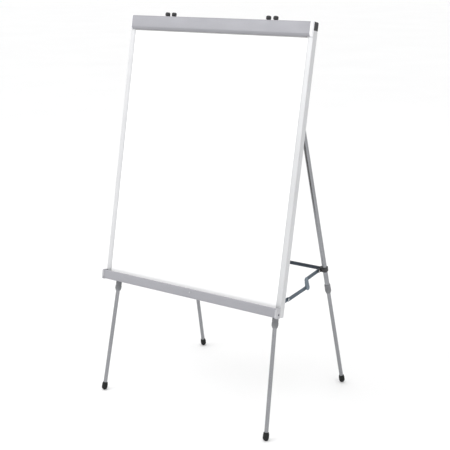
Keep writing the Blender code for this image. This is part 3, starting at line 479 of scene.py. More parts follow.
def lathe_mesh(name, profile, sides=64, closed=False, flutes=0, depth=0.0, span=(0.0, 0.0)):
    """A profile of (radius, height) points turned about Z, fluted between two heights."""
    if flutes:
        sides = flutes * 8
    shape = bmesh.new()
    rows = []
    for radius, height in profile:
        if radius < 1e-7:
            rows.append([shape.verts.new((0, 0, height))] * sides)
            continue
        cut = depth if flutes and span[0] <= height <= span[1] else 0.0
        row = []
        for i in range(sides):
            turn = 2 * math.pi * i / sides
            reach = radius - cut * (0.5 - 0.5 * math.cos(flutes * turn)) ** 2
            row.append(shape.verts.new((reach * math.cos(turn), reach * math.sin(turn), height)))
        rows.append(row)
    pairs = list(zip(rows, rows[1:])) + ([(rows[-1], rows[0])] if closed else [])
    for upper, lower in pairs:
        for i in range(sides):
            ring = [upper[i - 1], upper[i], lower[i], lower[i - 1]]
            corners = [vert for n, vert in enumerate(ring) if vert not in ring[:n]]
            if len(corners) > 2:
                shape.faces.new(corners)
    mesh = closed_mesh(name, shape)
    mesh.shade_smooth()
    mesh.set_sharp_from_angle(angle=SHARP)
    return mesh


def lathe(name, profile, **options):
    return solid(name, lathe_mesh(name, profile, **options))


def turned_to(made, origin, direction):
    """Turns a lathe's mesh so that its Z points along direction, and moves it to origin."""
    turn = Vector(direction).to_track_quat("Z", "Y").to_matrix().to_4x4()
    made.data.transform(Matrix.Translation(origin) @ turn)
    return made


def rod(name, radius, start, end, edge=0.0006, sides=40):
    """A solid round bar with eased ends."""
    start, end = Vector(start), Vector(end)
    length = (end - start).length
    profile = ([(0.0, length)] + arc((radius - edge, length - edge), edge, 90, 0, 4)
               + arc((radius - edge, edge), edge, 0, -90, 4) + [(0.0, 0.0)])
    return turned_to(lathe(name, profile, sides=sides), start, end - start)


def carve(made, tool, operation="DIFFERENCE"):
    """Cuts or joins with a Boolean, keeps its result as the mesh and removes the tool."""
    step = made.modifiers.new("carve", "BOOLEAN")
    step.operation = operation
    step.object = tool
    evaluated = made.evaluated_get(bpy.context.evaluated_depsgraph_get())
    mesh = bpy.data.meshes.new_from_object(evaluated)
    made.modifiers.remove(step)
    mesh.name = made.name
    made.data = mesh
    bpy.data.objects.remove(tool, do_unlink=True)
    return made


def dress(made, place, body, slot, edge=0.0, stands_for=(), segments=3, baked=False):
    """Puts a piece in its frame on its body, with its finish and eased edges."""
    if baked:
        made.data.transform(place)
        place = Matrix.Identity(4)
    if edge:
        step = made.modifiers.new("eased_edges", "BEVEL")
        step.width = edge
        step.segments = segments
        step.limit_method = "ANGLE"
        step.angle_limit = SHARP
        made.data.shade_smooth()
        made.modifiers.new("even_shading", "WEIGHTED_NORMAL").keep_sharp = True
    if not made.data.materials:
        made.data.materials.append(FINISHES[slot])
    made.matrix_world = place
    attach(made, body)
    if stands_for:
        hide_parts(*([stands_for] if isinstance(stands_for, str) else stands_for))
    return made


def screw_mesh():
    """A pan head with a cross recess."""
    radius, height = 0.0031, 0.0017
    profile = ([(0.0, height)] + arc((radius * 0.35, height - 0.0013), 0.0013, 90, 62, 3)
               + arc((radius - 0.0009, 0.0009), 0.0009, 60, 0, 5) + [(radius, 0.0), (0.0, 0.0)])
    head = lathe("screw_head", profile, sides=32)
    for arms in ((0.0019, 0.0004), (0.0004, 0.0019)):
        outline = [(arms[0], arms[1]), (-arms[0], arms[1]), (-arms[0], -arms[1]), (arms[0], -arms[1])]
        carve(head, prism("recess", outline, height - 0.0011, height + 0.001, "Z"))
    mesh = head.data
    mesh.shade_smooth()
    mesh.set_sharp_from_angle(angle=SHARP)
    bpy.data.objects.remove(head, do_unlink=True)
    return mesh


def rivet_mesh():
    """A domed rivet head with a small flange."""
    radius, height = 0.0042, 0.0017
    profile = ([(0.0, height)] + arc((0.0, height - 0.0062), 0.0062, 84, 64, 6)
               + [(radius * 0.80, 0.0006), (radius - 0.0002, 0.0005), (radius, 0.0003), (radius, 0.0),
                  (0.0, 0.0)])
    return lathe_mesh("rivet_head", profile, sides=36)


STEEL_SCREW, RIVET = screw_mesh(), rivet_mesh()
# A second screw mesh for the tray caps' dark screws, whose dark heads are painted shade for the gap by the rail.
SHADOW_SCREW = STEEL_SCREW.copy()
fixing_count = {}


def fixing(mesh, label, point, outward, place, body, slot="zinc_steel"):
    """One screw or rivet head standing on a face of its local frame."""
    fixing_count[label] = fixing_count.get(label, 0) + 1
    made = solid(f"{label}_{fixing_count[label]}", mesh)
    turn = Vector(outward).to_track_quat("Z", "Y").to_matrix().to_4x4()
    return dress(made, place @ Matrix.Translation(point) @ turn, body, slot)


def on_board(made, slot, edge=0.0, stands_for=()):
    """Dresses a piece of the board's own body."""
    return dress(made, board_frame, "easel_board", slot, edge, stands_for)


def back_screw(label, across, behind, up, mesh=STEEL_SCREW):
    """A head on the back of the board."""
    fixing(mesh, label, (across, behind, up), (0, 1, 0), board_frame, "easel_board")


# ================================================================ board and its frame
def rail_section(outer, inner, face_groove):
    """Half an extruded channel's outline: (distance out from the board's middle, behind)."""
    flange = outer - math.copysign(RAIL_BACK_FLANGE, outer - inner)
    web = outer - math.copysign(RAIL_WALL, outer - inner)
    inward = -1 if outer > inner else 1
    back = RAIL_DEPTH - RAIL_WALL
    sides = groove((outer, 0.0078), 0.0007, GROOVE, inward)
    sides += groove((outer, 0.0142), 0.0007, GROOVE, inward)
    face = [(inner, RAIL_WALL, 0.0005), (inner, 0.0, 0.0006)]
    if face_groove:
        at = inner - inward * 0.0036
        face += [(at + inward * 0.0006, 0.0, 0), (at + inward * 0.0003, GROOVE, 0),
                 (at - inward * 0.0003, GROOVE, 0), (at - inward * 0.0006, 0.0, 0)]
    return ([(outer, 0.0, 0.0020)] + sides + [(outer, RAIL_DEPTH, 0.0014), (flange, RAIL_DEPTH, 0.0005),
            (flange, back, 0.0004), (web, back, 0.0006), (web, RIB_FRONT + RIB_WALL, 0.0004),
            (flange, RIB_FRONT + RIB_WALL, 0.0004), (flange, RIB_FRONT, 0.0004),
            (web, RIB_FRONT, 0.0004), (web, RAIL_WALL, 0.0004)] + face)


def side_rail(side, word):
    section = rail_section(BOARD_HALF, RAIL_INNER, True)
    outline = mirrored(rounded(section, 0.0004, 4), side)
    on_board(prism("rail_" + word, outline, 0.0, SIDE_RAIL_TOP, "Z"), "rail_aluminium", 0.00025,
             "side_rail_" + word)


def cross_rail(name, outer, inner, node):
    outline = [(depth, up) for up, depth in rounded(rail_section(outer, inner, True), 0.0004, 4)]
    end = RAIL_INNER - GAP
    on_board(prism(name, outline, -end, end, "X"), "rail_aluminium", 0.0002, node)


def corner_block(side, word):
    """The moulded block on a side rail, its tenon in the rail and its pivot stub."""
    bottom = SIDE_RAIL_TOP + GAP
    corners = [(RAIL_INNER, bottom, 0.0010), (BOARD_HALF, bottom, 0.0010), (BOARD_HALF, BLOCK_TOP, 0.0042),
               (RAIL_INNER, BLOCK_TOP, 0.0016)]
    block = prism("corner_cap_" + word, mirrored(rounded(corners, 0.001), side), GAP, RAIL_DEPTH, "Y")
    low, high = SIDE_RAIL_TOP + 0.0055, BLOCK_TOP - 0.0055
    pocket = [(behind, up) for up, behind in rounded(box(low, high, 0.0045, 0.0175), 0.003)]
    outer = side * BOARD_HALF
    carve(block, prism("pocket", pocket, outer - side * 0.0007, outer + side * 0.01, "X"))
    on_board(block, "black_plastic", 0.0008, "corner_block_" + word)
    corners = mirrored(box(*TENON_S, *TENON_DEPTH), side)
    tenon = prism("corner_tenon_" + word, rounded(corners, 0.0006), SIDE_RAIL_TOP - TENON_REACH,
                  SIDE_RAIL_TOP + 0.001, "Z")
    on_board(tenon, "black_plastic", 0.0002)
    stub = rod("pivot_stub_" + word, STUB_RADIUS, (side * (RAIL_INNER + 0.002), *CLAMP_PIVOT),
               (side * (RAIL_INNER - STUB_REACH), *CLAMP_PIVOT), 0.0003, 24)
    on_board(stub, "black_plastic")
    back_screw("corner_screw", side * CORNER_SCREW[0], RAIL_DEPTH, SIDE_RAIL_TOP + CORNER_SCREW[1])


def frame_screws(side):
    """Screws through the rails' back flanges into the corner keys, and the brace's rivets."""
    for across, up in SIDE_KEY_SCREWS + LOWER_KEY_SCREWS:
        back_screw("key_screw", side * across, RAIL_DEPTH, up)
    for up in (BRACE_V[0] + BRACE_RIVET_INSET, BRACE_V[1] - BRACE_RIVET_INSET):
        back_screw("brace_rivet", side * BRACE_RIVET_S, BRACE_BACK, up, RIVET)


def head_brace():
    low, high = BRACE_V
    front, back = RIB_FRONT + RIB_WALL + GAP, BRACE_BACK
    line = [(front, low + RAIL_WALL / 2), (back - RAIL_WALL / 2, low + RAIL_WALL / 2),
            (back - RAIL_WALL / 2, high - RAIL_WALL / 2), (front, high - RAIL_WALL / 2)]
    end = BOARD_HALF - RAIL_WALL - GAP
    on_board(prism("brace", strip(bent(line, 0.0018), RAIL_WALL / 2), -end, end, "X"),
             "rail_aluminium", 0.0002, "head_brace")


for side, word in SIDES:
    side_rail(side, word)
    corner_block(side, word)
    frame_screws(side)
cross_rail("rail_top", FRAME_TOP, FRAME_TOP - TOP_RAIL_FACE, "top_rail")
cross_rail("rail_bottom", 0.0, RAIL_FACE, "bottom_rail")
head_brace()


# ================================================================ fixed leg hardware
UPPER_BACK = BRACE_BACK + GAP
LOWER_BACK = RAIL_DEPTH + GAP


def strap(back_face, middle_v, axis_s, foot_s, side):
    """A strap over a front tube, from its outer foot to the plate that it is part of."""
    radius = OUTER_RADIUS + GAP + STRAP / 2
    foot = back_face + STRAP / 2
    over = arc((axis_s, FRONT_AXIS_DEPTH), radius, 0, 180, 28)
    line = [(axis_s + STRAP_FOOT, foot)]
    line += corner_arc(line[0], (axis_s + radius, foot), over[0], 0.0016, 4) + over
    line += corner_arc(over[-1], (axis_s - radius, foot), (foot_s, foot), 0.0016, 4) + [(foot_s, foot)]
    outline = mirrored(strip(line, STRAP / 2), side)
    return prism("strap", outline, middle_v - STRAP_HALF_HEIGHT, middle_v + STRAP_HALF_HEIGHT, "Z")


def hinge_bracket(side, word):
    """A folded fork with rounded ears, and the strap that goes with it."""
    outer = FORK_INNER + SHEET
    wall = SHEET / 2
    line = [(HINGE_S + outer - wall, EAR_BACK), (HINGE_S + outer - wall, UPPER_BACK + wall),
            (HINGE_S - outer + wall, UPPER_BACK + wall), (HINGE_S - outer + wall, EAR_BACK)]
    fork = prism("fork_" + word, mirrored(strip(bent(line, 0.0022), wall), side),
                 HINGE_V - FORK_HALF_HEIGHT, HINGE_V + FORK_HALF_HEIGHT, "Z")
    nose = EAR_BACK - HINGE_DEPTH
    low, high = HINGE_V - FORK_HALF_HEIGHT - 0.001, HINGE_V + FORK_HALF_HEIGHT + 0.001
    outline = [(UPPER_BACK - 0.001, low), (UPPER_BACK + 0.006, low)]
    outline += arc((HINGE_DEPTH, HINGE_V), nose, -60, 60, 20)
    outline += [(UPPER_BACK + 0.006, high), (UPPER_BACK - 0.001, high)]
    centre = side * HINGE_S
    carve(fork, prism("silhouette", outline, centre - 0.02, centre + 0.02, "X"), "INTERSECT")
    hole = rod("pin_hole", PIN_RADIUS + GAP, (centre - 0.02, HINGE_DEPTH, HINGE_V),
               (centre + 0.02, HINGE_DEPTH, HINGE_V))
    carve(fork, hole)
    on_board(fork, "black_steel", 0.0003, "hinge_bracket_" + word)
    over = strap(UPPER_BACK, HINGE_V, FRONT_TOP_S, HINGE_S + outer - 0.0004, side)
    over.name = "upper_strap_" + word
    on_board(over, "black_steel", 0.0003)
    for up in (HINGE_V - HINGE_SCREW, HINGE_V + HINGE_SCREW):
        back_screw("hinge_screw", centre, UPPER_BACK + SHEET, up)
    back_screw("strap_screw", side * (FRONT_TOP_S + STRAP_SCREW), UPPER_BACK + STRAP, HINGE_V)


def hinge_pin(side, word):
    """A pin with a domed head at each end."""
    half = FORK_INNER + SHEET + GAP
    head = 0.0052
    dome = arc((head - 0.0014, half), 0.0014, 0, 90, 5)
    profile = ([(0.0, half + 0.0018), (head * 0.45, half + 0.0017)] + dome[::-1]
               + [(PIN_RADIUS, half), (PIN_RADIUS, -half)]
               + [(radius, -height) for radius, height in dome]
               + [(head * 0.45, -half - 0.0017), (0.0, -half - 0.0018)])
    pin = turned_to(lathe("leg_pin_" + word, profile, sides=40), (side * HINGE_S, HINGE_DEPTH, HINGE_V),
                    (1, 0, 0))
    on_board(pin, "zinc_steel", stands_for="hinge_pin_" + word)


def stay_bracket(side, word):
    """A plate on the bottom rail with an ear for the stay's front pivot, and the lower strap."""
    ear = ([(LOWER_BACK, RAIL_FACE), (LOWER_BACK, 0.001), (LOWER_BACK + 0.006, -0.004)]
           + arc(STAY_FRONT_PIVOT, 0.0060, -110, 70, 18) + [(LOWER_BACK + 0.008, RAIL_FACE)])
    made = prism("stay_ear_" + word, ear, side * (EAR_S - STAY_HALF), side * (EAR_S + STAY_HALF), "X")
    on_board(made, "black_steel", 0.0003, "stay_bracket_" + word)
    end, top = EAR_S - STAY_HALF + 0.0002, RAIL_FACE - 0.0002
    outline = mirrored(rounded(box(STAY_PLATE_S, end, 0.001, top), 0.0025), side)
    plate = prism("stay_plate_" + word, outline, LOWER_BACK, LOWER_BACK + SHEET, "Y")
    on_board(plate, "black_steel", 0.0003)
    axis_s = FRONT_TOP_S + (HINGE_V - LOWER_V) * math.tan(FRONT_SPLAY)
    over = strap(LOWER_BACK, LOWER_V, axis_s, EAR_S + STAY_HALF - 0.0002, side)
    over.name = "lower_strap_" + word
    on_board(over, "black_steel", 0.0003)
    for across in STAY_SCREWS_S:
        back_screw("stay_screw", side * across, LOWER_BACK + SHEET, LOWER_V)
    for across in (axis_s + STRAP_SCREW, LOWER_SCREW_S):
        back_screw("strap_screw", side * across, LOWER_BACK + STRAP, LOWER_V)


for side, word in SIDES:
    hinge_bracket(side, word)
    hinge_pin(side, word)
    stay_bracket(side, word)


# ================================================================ telescoping legs
def pipe_profile(radius, wall, top, bottom):
    """A tube's wall as a closed profile with eased lips."""
    ease = wall * 0.35
    middle = radius - wall / 2
    return ([(radius - ease, top), (radius, top - ease), (radius, bottom + ease), (radius - ease, bottom),
             (middle - wall / 2 + ease, bottom), (radius - wall, bottom + ease),
             (radius - wall, top - ease), (middle - wall / 2 + ease, top)])


def tube_plug():
    """A moulded end plug: a domed cap with a rim that sits on the tube."""
    cap = OUTER_RADIUS
    return ([(0.0, 0.0030)] + arc((cap - 0.0026, 0.0004), 0.0026, 86, 20, 6)
            + [(cap, 0.0011), (cap, 0.0003), (cap - TUBE_WALL - GAP, 0.0003),
               (cap - TUBE_WALL - GAP, -0.0058), (cap - TUBE_WALL - GAP - 0.0006, -0.0062), (0.0, -0.0062)])


def collar_profile():
    """The twist lock: a smooth sleeve on the outer tube and a fluted grip below it."""
    bore, inner = OUTER_RADIUS + GAP, INNER_RADIUS + GAP
    sleeve, grip = COLLAR_RADIUS - 0.0004, COLLAR_RADIUS
    return [(bore, 0.0128), (sleeve - 0.0010, 0.0130), (sleeve - 0.0003, 0.0126), (sleeve, 0.0118),
            (sleeve, 0.0092), (sleeve - 0.0005, 0.0088), (sleeve - 0.0005, 0.0080), (sleeve, 0.0076),
            (sleeve, 0.0014), (sleeve - 0.0008, 0.0007), (sleeve - 0.0008, -0.0003),
            (grip - 0.0006, -0.0008), (grip, -0.0016), (grip, -0.0030), (grip, -0.0060),
            (grip, -0.0095), (grip, -0.0118), (grip - 0.0005, -0.0128), (0.0090, -0.0150),
            (0.0087, -0.0178), (0.0082, -0.0185), (inner, -0.0185), (inner, -GAP), (bore, -GAP)]


def foot_profile():
    """A rubber foot: a ribbed skirt, a shoulder and a round end with a tread groove."""
    socket = INNER_RADIUS + GAP
    skirt = FOOT_RADIUS - 0.0012
    profile = [(0.0, 0.0010), (socket, 0.0010), (socket, 0.0168), (socket + 0.0004, 0.0171),
               (skirt - 0.0004, 0.0171), (skirt, 0.0167), (skirt, 0.0154), (skirt - 0.0006, 0.0150),
               (skirt - 0.0006, 0.0142), (skirt + 0.0004, 0.0136), (FOOT_RADIUS - 0.0004, 0.0112)]
    for height in (0.0088, 0.0058, 0.0028):
        profile += [(FOOT_RADIUS, height + 0.0010), (FOOT_RADIUS - 0.0006, height + 0.0005),
                    (FOOT_RADIUS - 0.0006, height - 0.0001), (FOOT_RADIUS, height - 0.0006)]
    profile += arc((0.0, 0.0), FOOT_RADIUS, 0, -56, 8)
    groove_at, reach = math.radians(-62), FOOT_RADIUS - 0.0007
    profile.append((reach * math.cos(groove_at), reach * math.sin(groove_at)))
    return profile + arc((0.0, 0.0), FOOT_RADIUS, -68, -88, 4) + [(0.0, -FOOT_RADIUS)]


def leg(kind, word):
    place = leg_frames[kind, word]
    drop = FOOT_DROP[kind, word]
    fixed = "easel_board" if kind == "front" else "rear_legs"
    sliding, lock = f"{kind}_leg_{word}", f"{kind}_lock_{word}"
    outer = lathe(f"{kind}_outer_{word}", pipe_profile(OUTER_RADIUS, TUBE_WALL, TUBE_ABOVE, -TUBE_BELOW),
                  closed=True, sides=72)
    if kind == "rear":
        inverse = place.inverted() @ rear_frame
        side = RIGHT if word == "right" else LEFT
        ends = [inverse @ Vector((side * HINGE_S + reach, 0, 0)) for reach in (-0.02, 0.02)]
        carve(outer, rod("pin_hole", PIN_RADIUS + GAP, *ends))
        outer.data.set_sharp_from_angle(angle=SHARP)
    dress(outer, place, fixed, "leg_aluminium", stands_for=f"{kind}_tube_{word}")
    inner = lathe(f"{kind}_inner_tube_{word}", pipe_profile(INNER_RADIUS, TUBE_WALL, -INNER_TOP,
                                                           -drop + 0.0010 + GAP), closed=True, sides=72)
    dress(inner, place, sliding, "leg_aluminium", stands_for=f"{kind}_inner_{word}")
    foot = lathe(f"{kind}_rubber_foot_{word}", foot_profile(), sides=64)
    dress(foot, place @ Matrix.Translation((0, 0, -drop)), sliding, "black_rubber",
          stands_for=f"{kind}_foot_{word}", baked=True)
    collar = lathe(f"{kind}_twist_lock_{word}", collar_profile(), closed=True, flutes=20, depth=0.0006,
                   span=(-0.0119, -0.0015))
    dress(collar, place @ Matrix.Translation((0, 0, -TUBE_BELOW)), lock, "grey_plastic",
          stands_for=f"{kind}_collar_{word}")
    plug = lathe(f"{kind}_end_plug_{word}", tube_plug(), sides=56)
    dress(plug, place @ Matrix.Translation((0, 0, TUBE_ABOVE)), fixed, "black_plastic",
          stands_for=f"{kind}_tube_plug_{word}")


for kind, word in leg_frames:
    leg(kind, word)


# ================================================================ crossbar and its clamps
def brace_clamp(side, word):
    """A moulded clamp round the rear tube, with the stay's lug and the crossbar's boss."""
    axis_s = HINGE_S + BRACE_DROP * math.tan(REAR_SPLAY)
    inner = LUG_S - STAY_HALF
    outer, half, tall = BRACE_BLOCK_HALF
    shoulder = axis_s + outer - 0.0020
    body_outline = rounded([(inner, -half), (shoulder, -half, 0.006), (axis_s + outer, 0.0, 0.004),
                            (shoulder, half, 0.006), (inner, half)], 0.0030, 8)
    block = prism("clamp_block_" + word, mirrored(body_outline, side), -BRACE_DROP - tall,
                  -BRACE_DROP + tall, "Z")
    root, root_half = LUG_ROOT
    lug_outline = [(0.0, -BRACE_DROP + root_half), (-root, -BRACE_DROP + root_half)]
    lug_outline += arc((-LUG_REACH, -BRACE_DROP), LUG_RADIUS, 90, 270, 18)
    lug_outline += [(-root, -BRACE_DROP - root_half), (0.0, -BRACE_DROP - root_half)]
    carve(block, prism("lug", lug_outline, side * inner, side * (LUG_S + STAY_HALF + 0.001), "X"), "UNION")
    split = mirrored(box(axis_s - 0.0006, axis_s + 0.0006, 0.004, 0.02), side)
    carve(block, prism("split", split, -BRACE_DROP - 0.02, -BRACE_DROP + 0.02, "Z"))
    inverse = rear_frame.inverted() @ leg_frames["rear", word]
    ends = [inverse @ Vector((0, 0, -BRACE_DROP + reach)) for reach in (-0.03, 0.03)]
    carve(block, rod("bore", OUTER_RADIUS + GAP, *ends, sides=64))
    dress(block, rear_frame, "rear_legs", "black_plastic", 0.0007, "brace_clamp_" + word)
    bore = CROSSBAR_RADIUS + 0.0002
    boss = [(bore, 0.0), (BOSS_RADIUS, 0.0), (BOSS_RADIUS - 0.0002, 0.0022), (BOSS_RADIUS - 0.0008, 0.0028),
            (bore, 0.0028)]
    ring = turned_to(lathe("crossbar_boss_" + word, boss, closed=True, sides=48),
                     (side * inner, 0, -BRACE_DROP), (-side, 0, 0))
    dress(ring, rear_frame, "rear_legs", "black_plastic")
    fixing(STEEL_SCREW, "clamp_screw", (side * (axis_s - 0.0062), half - 0.0001, -BRACE_DROP), (0, 1, 0),
           rear_frame, "rear_legs")


def crossbar():
    end = LUG_S - STAY_HALF - GAP
    bar = rod("cross_rod", CROSSBAR_RADIUS, (-end, 0, -BRACE_DROP), (end, 0, -BRACE_DROP), 0.0005, 48)
    dress(bar, rear_frame, "rear_legs", "black_steel", stands_for="crossbar")


for side, word in SIDES:
    brace_clamp(side, word)
crossbar()


# ================================================================ folding stays
def elbow_between(front_pivot, rear_pivot):
    """Where the two links meet, below the line between their pivots."""
    span = rear_pivot - front_pivot
    reach = span.length
    along = (reach ** 2 + FRONT_LINK_LENGTH ** 2 - REAR_LINK_LENGTH ** 2) / (2 * reach)
    drop = math.sqrt(FRONT_LINK_LENGTH ** 2 - along ** 2)
    way = span / reach
    return front_pivot + way * along + way.cross(ACROSS) * drop


def link_frame(pivot, way):
    """A frame at a pivot, in the easel's middle plane, with Y along the link."""
    return local_frame(pivot, way, ACROSS.cross(way))


def flat_link(name, line, half_width, middle_s, side):
    outline = strip(bent(line, 0.010, 8), half_width, True)
    return prism(name, outline, side * (middle_s - STAY_HALF), side * (middle_s + STAY_HALF), "X")


def stay(side, word):
    pivots = []
    for name in (f"stay_front_{word}_swing", f"stay_rear_{word}_swing"):
        pivot = Vector(joints[name]["pos_m"])
        pivots.append(Vector((0, pivot.y, pivot.z)))
    elbow = elbow_between(*pivots)
    front_place = link_frame(pivots[0], (elbow - pivots[0]).normalized())
    rear_place = link_frame(pivots[1], (pivots[1] - elbow).normalized())
    front_body, rear_body = "stay_front_" + word, "stay_rear_" + word

    front = flat_link("front_link_" + word, [(0, 0), (FRONT_LINK_LENGTH, 0)], STAY_HALF_WIDTH + 0.0004,
                      FRONT_LINK_S, side)
    dress(front, front_place, front_body, "stay_steel", 0.0004, "stay_front_link_" + word)
    fixing(RIVET, "stay_rivet", (side * (EAR_S - STAY_HALF - GAP), 0, 0), (-side, 0, 0), front_place,
           front_body)
    fixing(RIVET, "stay_rivet", (side * (FRONT_LINK_S - STAY_HALF), FRONT_LINK_LENGTH, 0),
           (-side, 0, 0), front_place, front_body)

    line = [(0, 0), (-CRANK_UPPER[0], CRANK_UPPER[1]), (-CRANK_LOWER[0], CRANK_LOWER[1]),
            (-REAR_LINK_LENGTH, 0)]
    rear = flat_link("rear_link_" + word, line, STAY_HALF_WIDTH, REAR_LINK_S, side)
    dress(rear, rear_place, rear_body, "stay_steel", 0.0004, "stay_rear_link_" + word)
    fixing(RIVET, "stay_rivet", (side * (LUG_S + STAY_HALF + 0.001 + GAP), 0, 0), (side, 0, 0), rear_place,
           rear_body)
    fixing(RIVET, "stay_rivet", (side * (REAR_LINK_S + STAY_HALF), -REAR_LINK_LENGTH, 0), (side, 0, 0),
           rear_place, rear_body)

    upper, lower = Vector(line[1]), Vector(line[2])
    beyond = (lower - upper) * 0.05
    face = REAR_LINK_S + STAY_HALF + GAP
    grip_outline = strip([upper - beyond, lower + beyond], GRIP_HALF_WIDTH, True)
    grip = prism("grip_" + word, grip_outline, side * face, side * (face + GRIP_THICKNESS), "X")
    way = (lower - upper).normalized()
    beside = Vector((-way.y, way.x))
    for step in GRIP_RIBS:
        middle = (upper + lower) / 2 + way * step * GRIP_RIB_PITCH
        corners = [middle + way * 0.0006 + beside * 0.012, middle - way * 0.0006 + beside * 0.012,
                   middle - way * 0.0006 - beside * 0.012, middle + way * 0.0006 - beside * 0.012]
        carve(grip, prism("rib_cut", [tuple(corner) for corner in corners],
                          side * (face + GRIP_THICKNESS - 0.0007), side * (face + 0.01), "X"))
    dress(grip, rear_place, rear_body, "stay_plastic", 0.0006, "stay_grip_" + word)


for side, word in SIDES:
    stay(side, word)


# ================================================================ clamp bar
def from_pivot(points):
    """Board-frame (behind, up) points measured from the clamp bar's pivot."""
    return [(behind - CLAMP_PIVOT[0], up - CLAMP_PIVOT[1]) for behind, up in points]


def clamp_bar():
    """The folded bar with its knuckle, its notches for the corner blocks and its hook slots."""
    half = CLAMP_SHEET / 2
    top, face = CLAMP_TOP - half, CLAMP_FACE_DEPTH + half
    line = bent([(CLAMP_PIVOT[0] - 0.0020, top), (face, top), (face, CLAMP_FACE_BOTTOM)], CLAMP_BEND, 10)
    line += arc((face + LIP_CURVE, CLAMP_FACE_BOTTOM), LIP_CURVE, 184, 235, 12) + [CLAMP_LIP]
    bar = prism("folded_bar", from_pivot(strip(line, half)), -CLAMP_HALF, CLAMP_HALF, "X")
    flange_end = RAIL_INNER - 2 * GAP
    carve(bar, rod("knuckle", KNUCKLE_RADIUS, (-flange_end, 0, 0), (flange_end, 0, 0), 0.0003), "UNION")
    slot_half = HOOK_TRAVEL + KNOB_SPACING / 2 + STUD_RADIUS + 0.0010
    slot_depth = HOOK_DEPTH - CLAMP_PIVOT[0]
    slot_width = STUD_RADIUS + GAP
    above = CLAMP_TOP - CLAMP_PIVOT[1]
    notch = box(-CLAMP_PIVOT[0] - 0.0010, 0.01, -0.02, 0.02)
    for side in (LEFT, RIGHT):
        carve(bar, prism("notch", notch, side * flange_end, side * (CLAMP_HALF + 0.01), "X"))
        carve(bar, rod("stub_hole", STUB_RADIUS + GAP, (side * (RAIL_INNER - STUB_REACH - 0.002), 0, 0),
                       (side * (RAIL_INNER + 0.01), 0, 0)))
        slot = strip([(side * HOOK_S - slot_half + slot_width, slot_depth),
                      (side * HOOK_S + slot_half - slot_width, slot_depth)], slot_width, True)
        carve(bar, prism("slot", slot, above - 0.0022, above + 0.002, "Z"))
    dress(bar, clamp_frame, "clamp_bar_body", "satin_grey", 0.0002, "clamp_bar", 2)


def grip_strip():
    """The rubber bead on the bar's lip, with two fine ridges towards the board."""
    shape = [(0.0004, -0.0035), (0.0004, -0.0011), (0.0010, -0.0009), (0.0010, 0.0025), (0.0044, 0.0025),
             (0.0053, 0.0013), (0.0048, 0.0004), (0.0053, -0.0005), (0.0048, -0.0014), (0.0053, -0.0023),
             (0.0040, -0.0035)]
    section = rounded([(CLAMP_LIP[0] + behind, CLAMP_LIP[1] + up) for behind, up in shape], 0.0003, 3)
    end = RAIL_INNER - 0.002
    dress(prism("rubber_strip", from_pivot(section), -end, end, "X"), clamp_frame, "clamp_bar_body",
          "grey_rubber", 0.0002, "clamp_grip_strip", 2)


def clamp_cap(side, word):
    """A pale moulded end for the clamp bar."""
    face = CLAMP_FACE_DEPTH
    outline = [(-0.0010, CLAMP_TOP)]
    outline += arc((face + CLAMP_BEND, CLAMP_TOP - CLAMP_BEND), CLAMP_BEND, 90, 180, 8)
    outline += arc((face + LIP_CURVE, CLAMP_FACE_BOTTOM), LIP_CURVE, 180, 235, 12)
    outline += [(CLAMP_LIP[0] - 0.002, CLAMP_LIP[1] - 0.0010), (CLAMP_LIP[0] + 0.003, CLAMP_LIP[1] - 0.0010)]
    cap = prism("bar_cap_" + word, from_pivot(outline), side * (CLAMP_HALF + GAP), side * BOARD_HALF, "X")
    dress(cap, clamp_frame, "clamp_bar_body", "pale_plastic", 0.0009, "clamp_cap_" + word)


clamp_bar()
grip_strip()
for side, word in SIDES:
    clamp_cap(side, word)


# ================================================================ pad hooks and knobs
def pad_hook(word):
    """A bent plate under the bar's top with a peg for the pad's hole, and two threaded studs."""
    body = "pad_hook_body_" + word
    depth = HOOK_DEPTH - CLAMP_PIVOT[0]
    middle = CLAMP_TOP - CLAMP_SHEET - GAP - CLAMP_PIVOT[1] - HOOK_SHEET / 2
    front = HOOK_LEG_DEPTH - CLAMP_PIVOT[0]
    bottom = HOOK_BOTTOM - CLAMP_PIVOT[1]
    line = bent([(depth + HOOK_TAIL, middle), (front, middle), (front, bottom)], 0.0024, 8)
    plate = prism("hook_plate_" + word, strip(line, HOOK_SHEET / 2), -HOOK_HALF, HOOK_HALF, "X")
    dress(plate, hook_frames[word], body, "black_steel", 0.0004, "pad_hook_" + word)
    peg_up = PEG_V - CLAMP_PIVOT[1]
    ease = 0.0014
    peg = ([(0.0, PEG_REACH)] + arc((PEG_RADIUS - ease, PEG_REACH - ease), ease, 90, 0, 5)
           + [(PEG_RADIUS, 0.0014), (PEG_RADIUS + 0.0008, 0.0008), (PEG_RADIUS + 0.0008, 0.0), (0.0, 0.0)])
    made = turned_to(lathe("hook_peg_" + word, peg, sides=36), (0, front - HOOK_SHEET / 2 + 0.0002, peg_up),
                     (0, -1, 0))
    dress(made, hook_frames[word], body, "black_steel")
    for place, label in ((-KNOB_SPACING / 2, "a"), (KNOB_SPACING / 2, "b")):
        bottom, top = middle, CLAMP_TOP - CLAMP_PIVOT[1] + STUD_REACH
        stud = rod(f"hook_stud_{word}_{label}", STUD_RADIUS, (place, depth, bottom), (place, depth, top),
                   0.0003, 28)
        dress(stud, hook_frames[word], body, "zinc_steel")


